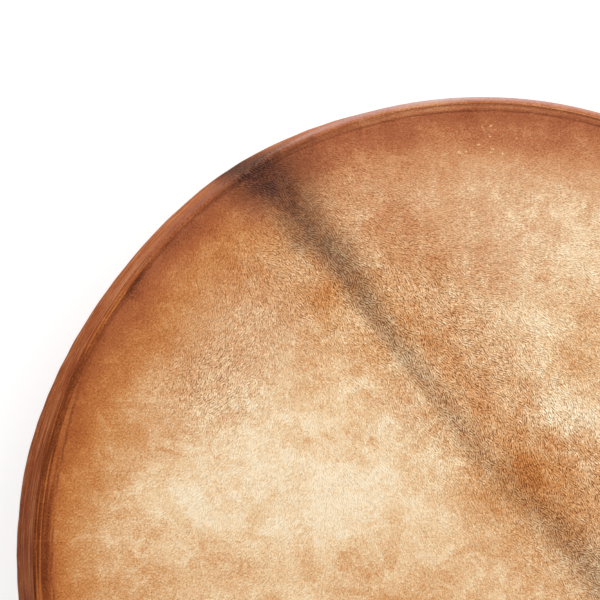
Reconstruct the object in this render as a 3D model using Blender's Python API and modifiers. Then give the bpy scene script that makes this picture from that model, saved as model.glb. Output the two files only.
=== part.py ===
"""A shaman drum: a rawhide head shrunk over a bent wood hoop and laced to a leather covered grip ring.

The drum lies on its back edge. +Z is the way the head faces, and the origin is the middle of the
circle that the back edge rests on. The grip is a cross: the lacing gathers into four arms, each in
a stitched leather sleeve, and every arm is hitched round one ring. All sizes are in metres.
"""

import math

import bpy
import numpy as np

# The drum over its hide
DRUM_RADIUS = 0.250
DRUM_DEPTH = 0.065
EDGE_ROUND = 0.004
RIM_FACETS = 64

# The hide
HIDE = 0.0012
HEAD_SINK = 0.0008
CREASE_WIDTH = 0.0010
CREASE_DEPTH = 0.0003
FLAP_SLOPE = math.radians(14.0)
HOLE_INSET = 0.0164
TAB_LENGTH = 0.0080
SCALLOP_DEPTH = 0.0035
SCALLOP_POINTS = 6

# The hoop, glued up from bent plies
PLY = 0.0030
PLY_COUNT = 3
PLY_BREAK = 0.0008
SCARF_LENGTH = 0.045
SCARF_GAP = 0.0004
FIRST_SCARF = math.radians(144.0)
SCARF_STEP = math.radians(120.0)
BEARING_BEVEL = math.radians(45.0)
BEARING_PEAK = math.radians(70.0)

# Where the hoop leans in at its outer scarf, more at the back edge than at the front
LEAN_FRONT = 0.0013
LEAN_BACK = 0.0029
LEAN_HALF_WIDTH = math.radians(26.0)

# The lace and its holes
LACE_RADIUS = 0.0015
HOLE_PLAY = 0.0009
HOLE_BEND = 0.0025
ARMS = 4
LEGS_PER_ARM = 8
MOUTH_BEND = 0.006
KNOT_RADIUS = 0.0044
KNOT_LENGTH = 0.012
KNOT_SHARE = 0.45
BEND_STEP = math.radians(46.0)

# The grip
RING_RADIUS = 0.032
RING_WIRE = 0.0030
RING_HEIGHT = 0.0110
RING_FACETS = 32
WRAP_LEATHER = 0.0014
SLEEVE_LEATHER = 0.0015
SLEEVE_START = 0.050
SLEEVE_LENGTH = 0.048
SLEEVE_CORNER = 0.0022
SEAM_GAP = 0.0006
COLUMN_GAP = 0.0008
ROW_GAP = 0.0008
LACE_PLAY = 0.0004

# The gap between two pieces that rest on each other
FIT_GAP = 0.0003

# Sizes that follow from the ones above
EDGE_CENTRE = DRUM_RADIUS - EDGE_ROUND
HEAD_HEIGHT = DRUM_DEPTH - HEAD_SINK
CREASE_RADIUS = EDGE_CENTRE - CREASE_WIDTH
HOOP_OUTSIDE = DRUM_RADIUS - HIDE - FIT_GAP
HOOP_INSIDE = HOOP_OUTSIDE - PLY_COUNT * PLY - (PLY_COUNT - 1) * FIT_GAP
HOOP_ROUND = EDGE_ROUND - HIDE - FIT_GAP
HOOP_FLOOR = HIDE + FIT_GAP
FLAP_START = HOOP_INSIDE - FIT_GAP
HOLE_CIRCLE = FLAP_START - HOLE_INSET
FLAP_EDGE = HOLE_CIRCLE - TAB_LENGTH
HOLE_RADIUS = LACE_RADIUS + HOLE_PLAY
LEG_STEP = 2 * math.pi / (ARMS * LEGS_PER_ARM)
COLUMNS = LEGS_PER_ARM // 2
COLUMN_PITCH = 2 * LACE_RADIUS + COLUMN_GAP
ROW_OFFSET = LACE_RADIUS + ROW_GAP / 2
WRAP_OUTSIDE = RING_WIRE + FIT_GAP + WRAP_LEATHER
HITCH_RADIUS = WRAP_OUTSIDE + LACE_PLAY + LACE_RADIUS
SLEEVE_END = SLEEVE_START + SLEEVE_LENGTH


# Building blocks


def material(name, colour, roughness, metallic=0.0):
    """A plain finish for one kind of stuff."""
    made = bpy.data.materials.new(name)
    made.use_nodes = True
    shader = made.node_tree.nodes["Principled BSDF"]
    shader.inputs["Base Color"].default_value = (*colour, 1.0)
    shader.inputs["Roughness"].default_value = roughness
    shader.inputs["Metallic"].default_value = metallic
    return made


def link(data, name, collection, finish=None):
    """A new object in a collection, with its finish."""
    made = bpy.data.objects.new(name, data)
    collection.objects.link(made)
    if finish:
        data.materials.append(finish)
    return made


def outline(name, points, closed):
    """A mesh of edges only, through points given as (x, z)."""
    mesh = bpy.data.meshes.new(name)
    count = len(points)
    edges = [(i, (i + 1) % count) for i in range(count if closed else count - 1)]
    mesh.from_pydata([(x, 0.0, z) for x, z in points], edges, [])
    return mesh


def turned(name, points, closed, collection, finish=None, facets=RIM_FACETS):
    """A profile turned once round the drum's axis."""
    made = link(outline(name, points, closed), name, collection, finish)
    screw = made.modifiers.new("Turn", "SCREW")
    screw.steps = facets
    screw.render_steps = facets
    screw.use_merge_vertices = True
    screw.merge_threshold = 1e-5
    return made


def thicken(piece, thickness, offset):
    """Gives a sheet its thickness, behind it at offset -1 and in front of it at offset 1."""
    solid = piece.modifiers.new("Thickness", "SOLIDIFY")
    solid.thickness = thickness
    solid.offset = offset
    solid.use_even_offset = True
    solid.use_quality_normals = True


def cut(piece, cutter):
    """Takes the cutter's shape out of the piece."""
    cutter.hide_render = True
    cutter.display_type = "WIRE"
    boolean = piece.modifiers.new("Cut " + cutter.name, "BOOLEAN")
    boolean.operation = "DIFFERENCE"
    boolean.solver = "EXACT"
    boolean.object = cutter


def made_mesh(piece):
    """Replaces a piece by the mesh that its modifiers or its curve make, with the caps joined on."""
    seen = piece.evaluated_get(bpy.context.evaluated_depsgraph_get())
    mesh = bpy.data.meshes.new_from_object(seen)
    name, place = piece.name, piece.matrix_world.copy()
    collection = piece.users_collection[0]
    bpy.data.objects.remove(piece)
    made = link(mesh, name, collection)
    made.matrix_world = place
    weld = made.modifiers.new("Weld", "WELD")
    weld.merge_threshold = 1e-6
    return made


def lean_in(piece):
    """Pulls a short arc in at the outer scarf, where the bent ply stays straighter."""
    bpy.context.view_layer.update()
    piece = made_mesh(piece)
    count = len(piece.data.vertices)
    points = np.empty(count * 3, np.float32)
    piece.data.vertices.foreach_get("co", points)
    points = points.reshape(-1, 3).astype(float)
    radius = np.hypot(points[:, 0], points[:, 1])
    turn = np.angle(np.exp(1j * (np.arctan2(points[:, 1], points[:, 0]) - FIRST_SCARF)))
    along = np.clip(np.abs(turn) / LEAN_HALF_WIDTH, 0.0, 1.0)
    arc = (1.0 - along**2) ** 2
    height = np.clip(points[:, 2] / DRUM_DEPTH, 0.0, 1.0)
    lean = LEAN_BACK + (LEAN_FRONT - LEAN_BACK) * height
    reach = np.clip(radius / DRUM_RADIUS, 0.0, 1.0) ** 4
    share = 1.0 - lean * arc * reach / np.maximum(radius, 1e-6)
    points[:, :2] *= share[:, None]
    piece.data.vertices.foreach_set("co", points.astype(np.float32).ravel())
    piece.data.update()
    return piece


def smooth(piece, angle=35.0):
    """Shades round faces smooth and keeps the real edges sharp."""
    piece.data.shade_smooth()
    piece.data.set_sharp_from_angle(angle=math.radians(angle))


# The hoop


def bearing_height(radius):
    """Height of the bevel that keeps the inner plies clear of the head."""
    peak_radius = EDGE_CENTRE + HOOP_ROUND * math.cos(BEARING_PEAK)
    peak_height = DRUM_DEPTH - EDGE_ROUND + HOOP_ROUND * math.sin(BEARING_PEAK)
    return peak_height - (peak_radius - radius) * math.tan(BEARING_BEVEL)


def arc_points(x, z, radius, start, end, steps):
    """Points on an arc about (x, z), both ends included, with angles in radians."""
    angles = [start + (end - start) * i / steps for i in range(steps + 1)]
    return [(x + radius * math.cos(a), z + radius * math.sin(a)) for a in angles]


def ply_profile(index):
    """Section of one ply, down its outer side and up its inner side."""
    outer = HOOP_OUTSIDE - index * (PLY + FIT_GAP)
    inner = outer - PLY
    if index == 0:
        top = arc_points(EDGE_CENTRE, DRUM_DEPTH - EDGE_ROUND, HOOP_ROUND, BEARING_PEAK, 0.0, 2)
        foot = arc_points(EDGE_CENTRE, EDGE_ROUND, HOOP_ROUND, 0.0, -math.pi / 2, 2)
        return top + foot + [(inner, HOOP_FLOOR), (inner, bearing_height(inner))]
    if index < PLY_COUNT - 1:
        return [
            (outer, bearing_height(outer)),
            (outer, HOOP_FLOOR),
            (inner, HOOP_FLOOR),
            (inner, bearing_height(inner)),
        ]
    return [
        (outer, bearing_height(outer)),
        (outer, HOOP_FLOOR),
        (inner + PLY_BREAK, HOOP_FLOOR),
        (inner, HOOP_FLOOR + PLY_BREAK),
        (inner, bearing_height(inner) - PLY_BREAK),
        (inner + PLY_BREAK, bearing_height(inner + PLY_BREAK)),
    ]


def scarf_cutter(index, collection):
    """A thin upright sheet that crosses one ply from face to face along the scarf's length."""
    outer = HOOP_OUTSIDE - index * (PLY + FIT_GAP)
    middle = FIRST_SCARF + index * SCARF_STEP
    sweep = SCARF_LENGTH / outer
    overshoot = 0.3
    steps = 8
    curve = bpy.data.curves.new(f"scarf_{index}", "CURVE")
    curve.dimensions = "2D"
    curve.fill_mode = "NONE"
    curve.extrude = DRUM_DEPTH
    spline = curve.splines.new("POLY")
    spline.points.add(steps)
    for i, point in enumerate(spline.points):
        share = -overshoot + (1.0 + 2.0 * overshoot) * i / steps
        radius = outer - PLY * share
        angle = middle + sweep * (share - 0.5)
        point.co = (radius * math.cos(angle), radius * math.sin(angle), 0.0, 1.0)
    cutter = made_mesh(link(curve, f"scarf_{index}", collection))
    thicken(cutter, SCARF_GAP, 0.0)
    return cutter


def hoop(parts, cutters, wood):
    """The bent plies, nested with a glue line between them, their scarf joints spread round."""
    names = ["hoop_outer_ply"] + ["hoop_middle_ply"] * (PLY_COUNT - 2) + ["hoop_inner_ply"]
    for index, name in enumerate(names):
        ply = turned(name, ply_profile(index), True, parts, wood)
        cut(ply, scarf_cutter(index, cutters))
        smooth(lean_in(ply))


# The hide


def flap_height(radius):
    """Height of the flap's outer face, which rises inwards from the back edge."""
    return max(0.0, FLAP_START - radius) * math.tan(FLAP_SLOPE)


def head_profile():
    """The hide's outer face, from the middle of the head over the rim to the flap's edge."""
    upper = arc_points(EDGE_CENTRE, DRUM_DEPTH - EDGE_ROUND, EDGE_ROUND, math.pi / 2, 0.0, 3)
    lower = arc_points(EDGE_CENTRE, EDGE_ROUND, EDGE_ROUND, 0.0, -math.pi / 2, 3)
    spare = FLAP_EDGE - HIDE
    return (
        [(0.0, HEAD_HEIGHT), (CREASE_RADIUS - CREASE_WIDTH, HEAD_HEIGHT)]
        + [(CREASE_RADIUS, HEAD_HEIGHT - CREASE_DEPTH)]
        + upper
        + lower
        + [(FLAP_START, 0.0), (spare, flap_height(spare))]
    )


def hole_angles():
    """Where the lace holes are, the first half a step round from the first arm."""
    return [(i + 0.5) * LEG_STEP for i in range(ARMS * LEGS_PER_ARM)]


def scallop_cutter(collection):
    """A disc with a wavy edge, which leaves the flap in tabs at the holes."""
    curve = bpy.data.curves.new("scallops", "CURVE")
    curve.dimensions = "2D"
    curve.fill_mode = "BOTH"
    curve.extrude = DRUM_DEPTH / 4
    spline = curve.splines.new("POLY")
    spline.use_cyclic_u = True
    count = ARMS * LEGS_PER_ARM * SCALLOP_POINTS
    spline.points.add(count - 1)
    for i, point in enumerate(spline.points):
        angle = (i + 0.5) * 2 * math.pi / count
        wave = math.cos(angle / LEG_STEP * math.pi) ** 2
        radius = FLAP_EDGE + SCALLOP_DEPTH * wave
        point.co = (radius * math.cos(angle), radius * math.sin(angle), 0.0, 1.0)
    return made_mesh(link(curve, "scallops", collection))


def hole_cutters(collection):
    """One upright pin for each lace hole."""
    made = []
    for index, angle in enumerate(hole_angles()):
        x, y = HOLE_CIRCLE * math.cos(angle), HOLE_CIRCLE * math.sin(angle)
        bpy.ops.mesh.primitive_cylinder_add(
            vertices=8, radius=HOLE_RADIUS, depth=DRUM_DEPTH / 3, location=(x, y, 0.0),
            rotation=(0.0, 0.0, angle),
        )
        pin = bpy.context.object
        pin.name = f"hole_{index}"
        for owner in list(pin.users_collection):
            owner.objects.unlink(pin)
        collection.objects.link(pin)
        made.append(pin)
    bpy.ops.object.select_all(action="DESELECT")
    for pin in made:
        pin.select_set(True)
    bpy.context.view_layer.objects.active = made[0]
    bpy.ops.object.join()
    made[0].name = "lace_holes"
    return made[0]


def head(parts, cutters, rawhide):
    """The hide: playing surface, rim, side and the flap that the lace pulls on."""
    hide = turned("head", head_profile(), False, parts, rawhide)
    thicken(hide, HIDE, -1.0)
    cut(hide, scallop_cutter(cutters))
    cut(hide, hole_cutters(cutters))
    smooth(lean_in(hide))


# The lace


def over_flap():
    """Height of the lace where it clears the edge of the flap."""
    top = flap_height(FLAP_EDGE) + HIDE / math.cos(FLAP_SLOPE)
    return top + (LACE_RADIUS + FIT_GAP) / math.cos(FLAP_SLOPE)


def under_flap():
    """Height of the lace where it crosses from hole to hole below the flap."""
    return flap_height(HOLE_CIRCLE) - (LACE_RADIUS + FIT_GAP) / math.cos(FLAP_SLOPE)


def arm_frame(arm):
    """The arm's own axes: out along the arm, across it, and up."""
    angle = arm * 2 * math.pi / ARMS
    return np.array(
        [
            (math.cos(angle), math.sin(angle), 0.0),
            (-math.sin(angle), math.cos(angle), 0.0),
            (0.0, 0.0, 1.0),
        ]
    )


def leg_row(leg):
    """Offset of a leg across its arm, and its height: even legs lie over odd ones."""
    across = (leg // 2 - (COLUMNS - 1) / 2) * COLUMN_PITCH
    return across, RING_HEIGHT + (ROW_OFFSET if leg % 2 == 0 else -ROW_OFFSET)


def leg_corners(arm, leg):
    """Corners of one leg from its hole to its sleeve's inner end, each with a bend radius."""
    frame = arm_frame(arm)
    angle = arm * 2 * math.pi / ARMS + (leg - (LEGS_PER_ARM - 1) / 2) * LEG_STEP
    hole = np.array([HOLE_CIRCLE * math.cos(angle), HOLE_CIRCLE * math.sin(angle), 0.0])
    across, height = leg_row(leg)
    clear = 2 * LACE_RADIUS
    return [
        (hole + (0.0, 0.0, under_flap()), HOLE_BEND),
        (hole + (0.0, 0.0, over_flap()), HOLE_BEND),
        (np.array([SLEEVE_END + clear, across, height]) @ frame, MOUTH_BEND),
        (np.array([SLEEVE_START - clear, across, height]) @ frame, MOUTH_BEND),
    ]


def hitch_points(arm, column):
    """The lace round the ring, over its top, round its inner side and out below it."""
    frame = arm_frame(arm)
    across = (column - (COLUMNS - 1) / 2) * COLUMN_PITCH
    middle = math.sqrt(RING_RADIUS**2 - across**2)
    reach = SLEEVE_START - 2 * LACE_RADIUS - middle
    start = math.atan2(ROW_OFFSET, reach) + math.acos(HITCH_RADIUS / math.hypot(reach, ROW_OFFSET))
    turn = arc_points(middle, RING_HEIGHT, HITCH_RADIUS, start, 2 * math.pi - start, 8)
    return [np.array([x, across, z]) @ frame for x, z in turn]


def bend(before, corner, after, radius):
    """A corner made round: points on the arc of that radius that touches both straights."""
    back = before - corner
    on = after - corner
    back, on = back / np.linalg.norm(back), on / np.linalg.norm(on)
    opening = math.acos(float(np.clip(back @ on, -1.0, 1.0)))
    turn = math.pi - opening
    if turn < math.radians(2.0):
        return [corner]
    touch = radius / math.tan(opening / 2)
    centre = corner + (back + on) / np.linalg.norm(back + on) * radius / math.sin(opening / 2)
    first, last = corner + back * touch - centre, corner + on * touch - centre
    steps = math.ceil(turn / BEND_STEP)
    shares = [i / steps for i in range(steps + 1)]
    return [
        centre + (math.sin((1 - t) * turn) * first + math.sin(t * turn) * last) / math.sin(turn)
        for t in shares
    ]


def lace_route():
    """The whole lace as a list of (point, bend radius), with no radius on points to keep as they are."""
    route = []
    for arm in range(ARMS):
        for leg in range(LEGS_PER_ARM):
            corners = leg_corners(arm, leg)
            if leg % 2 == 0:
                route += corners
                route += [(point, None) for point in hitch_points(arm, leg // 2)]
            else:
                route += corners[::-1]
    return route


def knot_place():
    """Middle of the knot in the first leg, and the leg's direction outwards."""
    corners = leg_corners(0, 0)
    mouth, hole = corners[2][0], corners[1][0]
    along = (hole - mouth) / np.linalg.norm(hole - mouth)
    return mouth + (hole - mouth) * KNOT_SHARE, along


def lace_points():
    """The lace's own line, from one face of the knot round every arm to its other face."""
    middle, along = knot_place()
    face = KNOT_LENGTH / 2 + FIT_GAP
    route = lace_route()
    route = route[2:] + route[:2]
    ends = [(middle - along * face, None)], [(middle + along * face, None)]
    route = ends[0] + route + ends[1]
    points = []
    for i, (point, radius) in enumerate(route):
        if radius is None:
            points.append(point)
        else:
            points += bend(route[i - 1][0], point, route[i + 1][0], radius)
    return np.array(points)


def least_gap(points, radius, apart):
    """Least free space between stretches of one tube that lie further apart than that along it."""
    steps = np.diff(points, axis=0)
    lengths = np.linalg.norm(steps, axis=1)
    fine = [points[0]]
    for point, step, length in zip(points, steps, lengths):
        count = max(1, int(length / radius))
        fine += [point + step * (i + 1) / count for i in range(count)]
    fine = np.array(fine)
    along = np.concatenate([[0.0], np.cumsum(np.linalg.norm(np.diff(fine, axis=0), axis=1))])
    least = 1.0
    for i in range(len(fine)):
        far = np.abs(along - along[i]) > apart
        least = min(least, np.linalg.norm(fine[far] - fine[i], axis=1).min())
    return least - 2 * radius


def lacing(parts, rawhide):
    """The lace, one unbroken tube."""
    points = lace_points()
    print(f"lace: {np.linalg.norm(np.diff(points, axis=0), axis=1).sum():.2f} m long")
    print(f"lace: least gap to itself {least_gap(points, LACE_RADIUS, 0.02) * 1000:.2f} mm")
    curve = bpy.data.curves.new("lacing", "CURVE")
    curve.dimensions = "3D"
    curve.bevel_depth = LACE_RADIUS
    curve.bevel_resolution = 1
    curve.use_fill_caps = True
    spline = curve.splines.new("POLY")
    spline.points.add(len(points) - 1)
    spline.points.foreach_set("co", np.c_[points, np.ones(len(points))].ravel())
    smooth(lean_in(link(curve, "lacing", parts, rawhide)), 70.0)


def lace_knot(parts, rawhide):
    """The knot that joins the lace's two ends, a barrel with a flat face to each."""
    middle, along = knot_place()
    half = KNOT_LENGTH / 2
    waist = LACE_RADIUS + HOLE_PLAY
    shape = [(0.0, half), (waist, half)]
    for share in (0.6, 0.2, -0.2, -0.6):
        swell = math.cos(share * math.pi / 2)
        shape.append((waist + (KNOT_RADIUS - waist) * swell, half * share))
    shape += [(waist, -half), (0.0, -half)]
    knot = turned("lace_knot", shape, False, parts, rawhide, facets=12)
    knot.rotation_mode = "QUATERNION"
    from_up = np.cross((0.0, 0.0, 1.0), along)
    angle = math.acos(float(along[2]))
    axis = from_up / np.linalg.norm(from_up)
    knot.rotation_quaternion = [math.cos(angle / 2), *(axis * math.sin(angle / 2))]
    knot.location = middle
    smooth(knot)


# The grip


def grip_ring(parts, steel):
    """The steel ring inside the leather."""
    bpy.ops.mesh.primitive_torus_add(
        major_segments=RING_FACETS, minor_segments=8, major_radius=RING_RADIUS,
        minor_radius=RING_WIRE, location=(0.0, 0.0, RING_HEIGHT),
    )
    ring = bpy.context.object
    ring.name = "grip_ring"
    for owner in list(ring.users_collection):
        owner.objects.unlink(ring)
    parts.objects.link(ring)
    ring.data.materials.append(steel)
    smooth(ring)


def ring_wrap(parts, leather):
    """The leather folded round the ring, its edges meeting in a seam on the outer side."""
    inside = RING_WIRE + FIT_GAP
    seam = SEAM_GAP / inside
    section = arc_points(
        RING_RADIUS, RING_HEIGHT, inside + WRAP_LEATHER / 2, -seam, seam - 2 * math.pi, 10
    )
    wrap = turned("ring_wrap", section, False, parts, leather, facets=RING_FACETS)
    thicken(wrap, WRAP_LEATHER, 0.0)
    smooth(wrap)


def sleeve_section():
    """Middle of the sleeve's leather seen along the arm, from one side of the seam to the other."""
    corner = SLEEVE_CORNER
    wide = (COLUMNS - 1) / 2 * COLUMN_PITCH + LACE_RADIUS + LACE_PLAY + SLEEVE_LEATHER / 2 - corner
    high = ROW_OFFSET + LACE_RADIUS + LACE_PLAY + SLEEVE_LEATHER / 2 - corner
    quarter = math.pi / 2
    bends = [(-wide, -high, 3), (-wide, high, 2), (wide, high, 1), (wide, -high, 0)]
    points = [(-SEAM_GAP / 2, -high - corner)]
    for x, z, turn in bends:
        points += arc_points(x, z, corner, turn * quarter, (turn - 1) * quarter, 3)
    return points + [(SEAM_GAP / 2, -high - corner)]


def arm_sleeves(parts, leather):
    """A leather sleeve round each arm's eight legs, its seam on the back."""
    for arm in range(ARMS):
        name = f"arm_sleeve_{arm + 1}"
        angle = arm * 2 * math.pi / ARMS
        sleeve = link(outline(name, sleeve_section(), False), name, parts, leather)
        run = sleeve.modifiers.new("Run", "SCREW")
        run.axis = "Y"
        run.angle = 0.0
        run.screw_offset = SLEEVE_LENGTH
        run.steps = 1
        run.render_steps = 1
        thicken(sleeve, SLEEVE_LEATHER, 0.0)
        sleeve.location = (
            SLEEVE_START * math.cos(angle), SLEEVE_START * math.sin(angle), RING_HEIGHT
        )
        sleeve.rotation_euler = (0.0, 0.0, angle - math.pi / 2)
        smooth(sleeve)


def clear_scene():
    """Takes away whatever the file starts with."""
    for piece in list(bpy.data.objects):
        bpy.data.objects.remove(piece)


def build():
    """The whole drum."""
    clear_scene()
    parts = bpy.data.collections.new("shaman_drum")
    cutters = bpy.data.collections.new("cutters")
    for collection in (parts, cutters):
        bpy.context.scene.collection.children.link(collection)
    wood = material("ash_wood", (0.52, 0.33, 0.18), 0.6)
    hide = material("rawhide", (0.62, 0.36, 0.17), 0.5)
    lace = material("rawhide_lace", (0.66, 0.46, 0.27), 0.55)
    leather = material("brown_leather", (0.17, 0.08, 0.04), 0.6)
    steel = material("steel", (0.55, 0.55, 0.56), 0.35, 1.0)
    hoop(parts, cutters, wood)
    head(parts, cutters, hide)
    lacing(parts, lace)
    lace_knot(parts, lace)
    grip_ring(parts, steel)
    ring_wrap(parts, leather)
    arm_sleeves(parts, leather)


build()
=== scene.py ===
"""Looks of the shaman drum: rawhide over a bent ash hoop, laced behind to a leather-bound grip ring."""

import math

import bmesh
import bpy
import numpy as np
from mathutils import Matrix, Vector


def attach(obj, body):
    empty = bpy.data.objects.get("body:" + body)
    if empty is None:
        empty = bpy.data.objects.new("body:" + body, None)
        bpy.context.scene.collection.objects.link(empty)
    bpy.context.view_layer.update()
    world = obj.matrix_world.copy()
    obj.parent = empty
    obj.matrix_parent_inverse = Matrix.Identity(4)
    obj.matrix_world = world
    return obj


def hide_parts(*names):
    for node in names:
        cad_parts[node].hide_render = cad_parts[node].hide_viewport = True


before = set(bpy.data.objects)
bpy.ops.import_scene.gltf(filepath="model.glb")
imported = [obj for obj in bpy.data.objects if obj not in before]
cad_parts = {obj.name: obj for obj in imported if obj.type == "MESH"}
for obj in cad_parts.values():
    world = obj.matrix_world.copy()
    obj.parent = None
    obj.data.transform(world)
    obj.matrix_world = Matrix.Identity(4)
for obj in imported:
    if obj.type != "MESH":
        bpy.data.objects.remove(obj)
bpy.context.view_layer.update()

# Sizes in metres, the same as the CAD part's
DRUM_RADIUS = 0.250
DRUM_DEPTH = 0.065
EDGE_ROUND = 0.004
HIDE = 0.0012
HEAD_HEIGHT = 0.0642
FLAP_SLOPE = math.radians(14.0)
SCALLOP_DEPTH = 0.0035
PLY = 0.0030
SCARF_LENGTH = 0.045
SCARF_GAP = 0.0004
FIRST_SCARF = math.radians(144.0)
SCARF_STEP = math.radians(120.0)
LEAN_FRONT = 0.0013
LEAN_BACK = 0.0029
LEAN_HALF_WIDTH = math.radians(26.0)
LACE_RADIUS = 0.0015
HOLE_BEND = 0.0025
ARMS = 4
LEGS_PER_ARM = 8
MOUTH_BEND = 0.006
KNOT_LENGTH = 0.012
KNOT_SHARE = 0.45
RING_RADIUS = 0.032
RING_WIRE = 0.0030
RING_HEIGHT = 0.0110
WRAP_LEATHER = 0.0014
SLEEVE_LEATHER = 0.0015
SLEEVE_START = 0.050
SLEEVE_END = 0.098
SLEEVE_CORNER = 0.0022
SEAM_GAP = 0.0006
COLUMN_PITCH = 0.0038
ROW_OFFSET = 0.0019
LACE_PLAY = 0.0004
FIT_GAP = 0.0003
EDGE_CENTRE = DRUM_RADIUS - EDGE_ROUND
HOOP_OUTSIDE = DRUM_RADIUS - HIDE - FIT_GAP
HOOP_FLOOR = HIDE + FIT_GAP
FLAP_START = 0.2386
TAB_START = 0.2322
HOLE_CIRCLE = 0.2222
FLAP_EDGE = 0.2142
HOLE_RADIUS = 0.0024
LEG_STEP = 2 * math.pi / (ARMS * LEGS_PER_ARM)
HITCH_RADIUS = RING_WIRE + FIT_GAP + WRAP_LEATHER + LACE_PLAY + LACE_RADIUS
# The share of the leather's thickness that is drawn, and how far its cut edges bulge
LEATHER_SHARE = 0.96
CUT_ROUND = 0.0002
# From the middle of a sleeve to the middle of its leather, across and up
SLEEVE_WIDE = 1.5 * COLUMN_PITCH + LACE_RADIUS + LACE_PLAY + SLEEVE_LEATHER / 2
SLEEVE_HIGH = ROW_OFFSET + LACE_RADIUS + LACE_PLAY + SLEEVE_LEATHER / 2
# The way over the hide from its middle down to the wall's foot
FOOT = EDGE_CENTRE + EDGE_ROUND * math.pi / 2 + DRUM_DEPTH - EDGE_ROUND
# Points along a tab's root, and down each of its sides
TAB_POINTS = 13
TAB_SIDE = 7
# How bright the white surround lights the drum, and how bright the floor glows to the camera
SURROUND = 0.52
FLOOR_GLOW = 0.72

# The camera, where the photograph was taken from
CAMERA_AIM = np.array([-0.1046, 0.1386, DRUM_DEPTH])
CAMERA_TILT = math.radians(11.47)
CAMERA_TURN = math.radians(185.84)
CAMERA_DISTANCE = 3.0
CAMERA_LENS = 333.8


# Mesh helpers


def grid_faces(rows, columns, first=0, wrap=True):
    """Faces of a grid of points, each row joined to the next, closed on itself across if wrap."""
    across = columns if wrap else columns - 1
    row, column = np.meshgrid(np.arange(rows - 1), np.arange(across), indexing="ij")
    beside = (column + 1) % columns
    corners = [row * columns + column, row * columns + beside]
    corners += [(row + 1) * columns + beside, (row + 1) * columns + column]
    return np.stack(corners, -1).reshape(-1, 4) + first


def join_grids(grids):
    """Points, faces and finish numbers of several grids, each given as (points, wrap, finish)."""
    points, faces, marks, first = [], [], [], 0
    for grid, wrap, finish in grids:
        rows, columns = grid.shape[:2]
        points.append(grid.reshape(-1, 3))
        faces.append(grid_faces(rows, columns, first, wrap))
        marks.append(np.full(len(faces[-1]), finish))
        first += rows * columns
    return np.concatenate(points), np.concatenate(faces), np.concatenate(marks)


def make_piece(name, grids, finishes, weld=1e-7, sharp=50.0):
    """A closed mesh object from its grids, its doubles merged and its faces turned outwards."""
    points, faces, marks = join_grids(grids)
    mesh = bpy.data.meshes.new(name)
    mesh.from_pydata(points, [], faces.tolist())
    mesh.polygons.foreach_set("material_index", marks.astype(np.int32))
    net = bmesh.new()
    net.from_mesh(mesh)
    bmesh.ops.remove_doubles(net, verts=net.verts, dist=weld)
    bmesh.ops.recalc_face_normals(net, faces=net.faces)
    net.to_mesh(mesh)
    net.free()
    mesh.shade_smooth()
    mesh.set_sharp_from_angle(angle=math.radians(sharp))
    for finish in finishes:
        mesh.materials.append(finish)
    piece = bpy.data.objects.new(name, mesh)
    bpy.context.scene.collection.objects.link(piece)
    return piece


def read_points(piece):
    """The mesh's points as one array."""
    points = np.empty(len(piece.data.vertices) * 3, np.float32)
    piece.data.vertices.foreach_get("co", points)
    return points.reshape(-1, 3).astype(float)


def write_points(piece, points):
    """Puts the points back into the mesh."""
    piece.data.vertices.foreach_set("co", points.astype(np.float32).ravel())
    piece.data.update()


def add_field(piece, name, values):
    """Stores one number, or one arrow, for each point of the mesh, for the finish to read."""
    kind, key = ("FLOAT", "value") if values.ndim == 1 else ("FLOAT_VECTOR", "vector")
    field = piece.data.attributes.new(name, kind, "POINT")
    field.data.foreach_set(key, values.astype(np.float32).ravel())


def soft_noise(points, scale, seed):
    """Smooth noise from -1 to 1: random values on a unit lattice, blended by a smooth step."""
    dice = np.random.default_rng(seed).uniform(-1.0, 1.0, (32, 32, 32))
    place = points * scale + 100.0
    cell = np.floor(place).astype(int)
    share = place - cell
    share = share * share * (3.0 - 2.0 * share)
    total = np.zeros(points.shape[:-1])
    for corner in np.ndindex(2, 2, 2):
        weight = np.prod(np.where(corner, share, 1.0 - share), axis=-1)
        total += weight * dice[tuple(np.moveaxis((cell + corner) % 32, -1, 0))]
    return total


def lean_in(points):
    """Pulls a short arc in at the outer scarf, by the same amount as the CAD part's."""
    points = points.copy()
    radius = np.hypot(points[..., 0], points[..., 1])
    turn = np.angle(np.exp(1j * (np.arctan2(points[..., 1], points[..., 0]) - FIRST_SCARF)))
    share = (1.0 - np.clip(np.abs(turn) / LEAN_HALF_WIDTH, 0.0, 1.0) ** 2) ** 2
    lean = LEAN_BACK + (LEAN_FRONT - LEAN_BACK) * np.clip(points[..., 2] / DRUM_DEPTH, 0.0, 1.0)
    reach = np.clip(radius / DRUM_RADIUS, 0.0, 1.0) ** 4
    points[..., :2] *= (1.0 - lean * share * reach / np.maximum(radius, 1e-6))[..., None]
    return points


def arc(x, z, radius, start, end, steps):
    """Points on an arc about (x, z), both ends included, with angles in degrees."""
    angles = np.radians(np.linspace(start, end, steps + 1))
    return np.stack([x + radius * np.cos(angles), z + radius * np.sin(angles)], -1)


def axes_at(angle):
    """Axes at an angle round the drum: outwards, across and up."""
    c, s = math.cos(angle), math.sin(angle)
    return np.array([(c, s, 0.0), (-s, c, 0.0), (0.0, 0.0, 1.0)])


def even_steps(line, step):
    """Points along a line at an even step, and how far along each lies."""
    lengths = np.linalg.norm(np.diff(line, axis=0), axis=1)
    along = np.concatenate([[0.0], np.cumsum(lengths)])
    run = np.linspace(0.0, along[-1], int(along[-1] / step) + 1)
    return np.stack([np.interp(run, along, line[:, i]) for i in range(3)], -1), run


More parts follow.
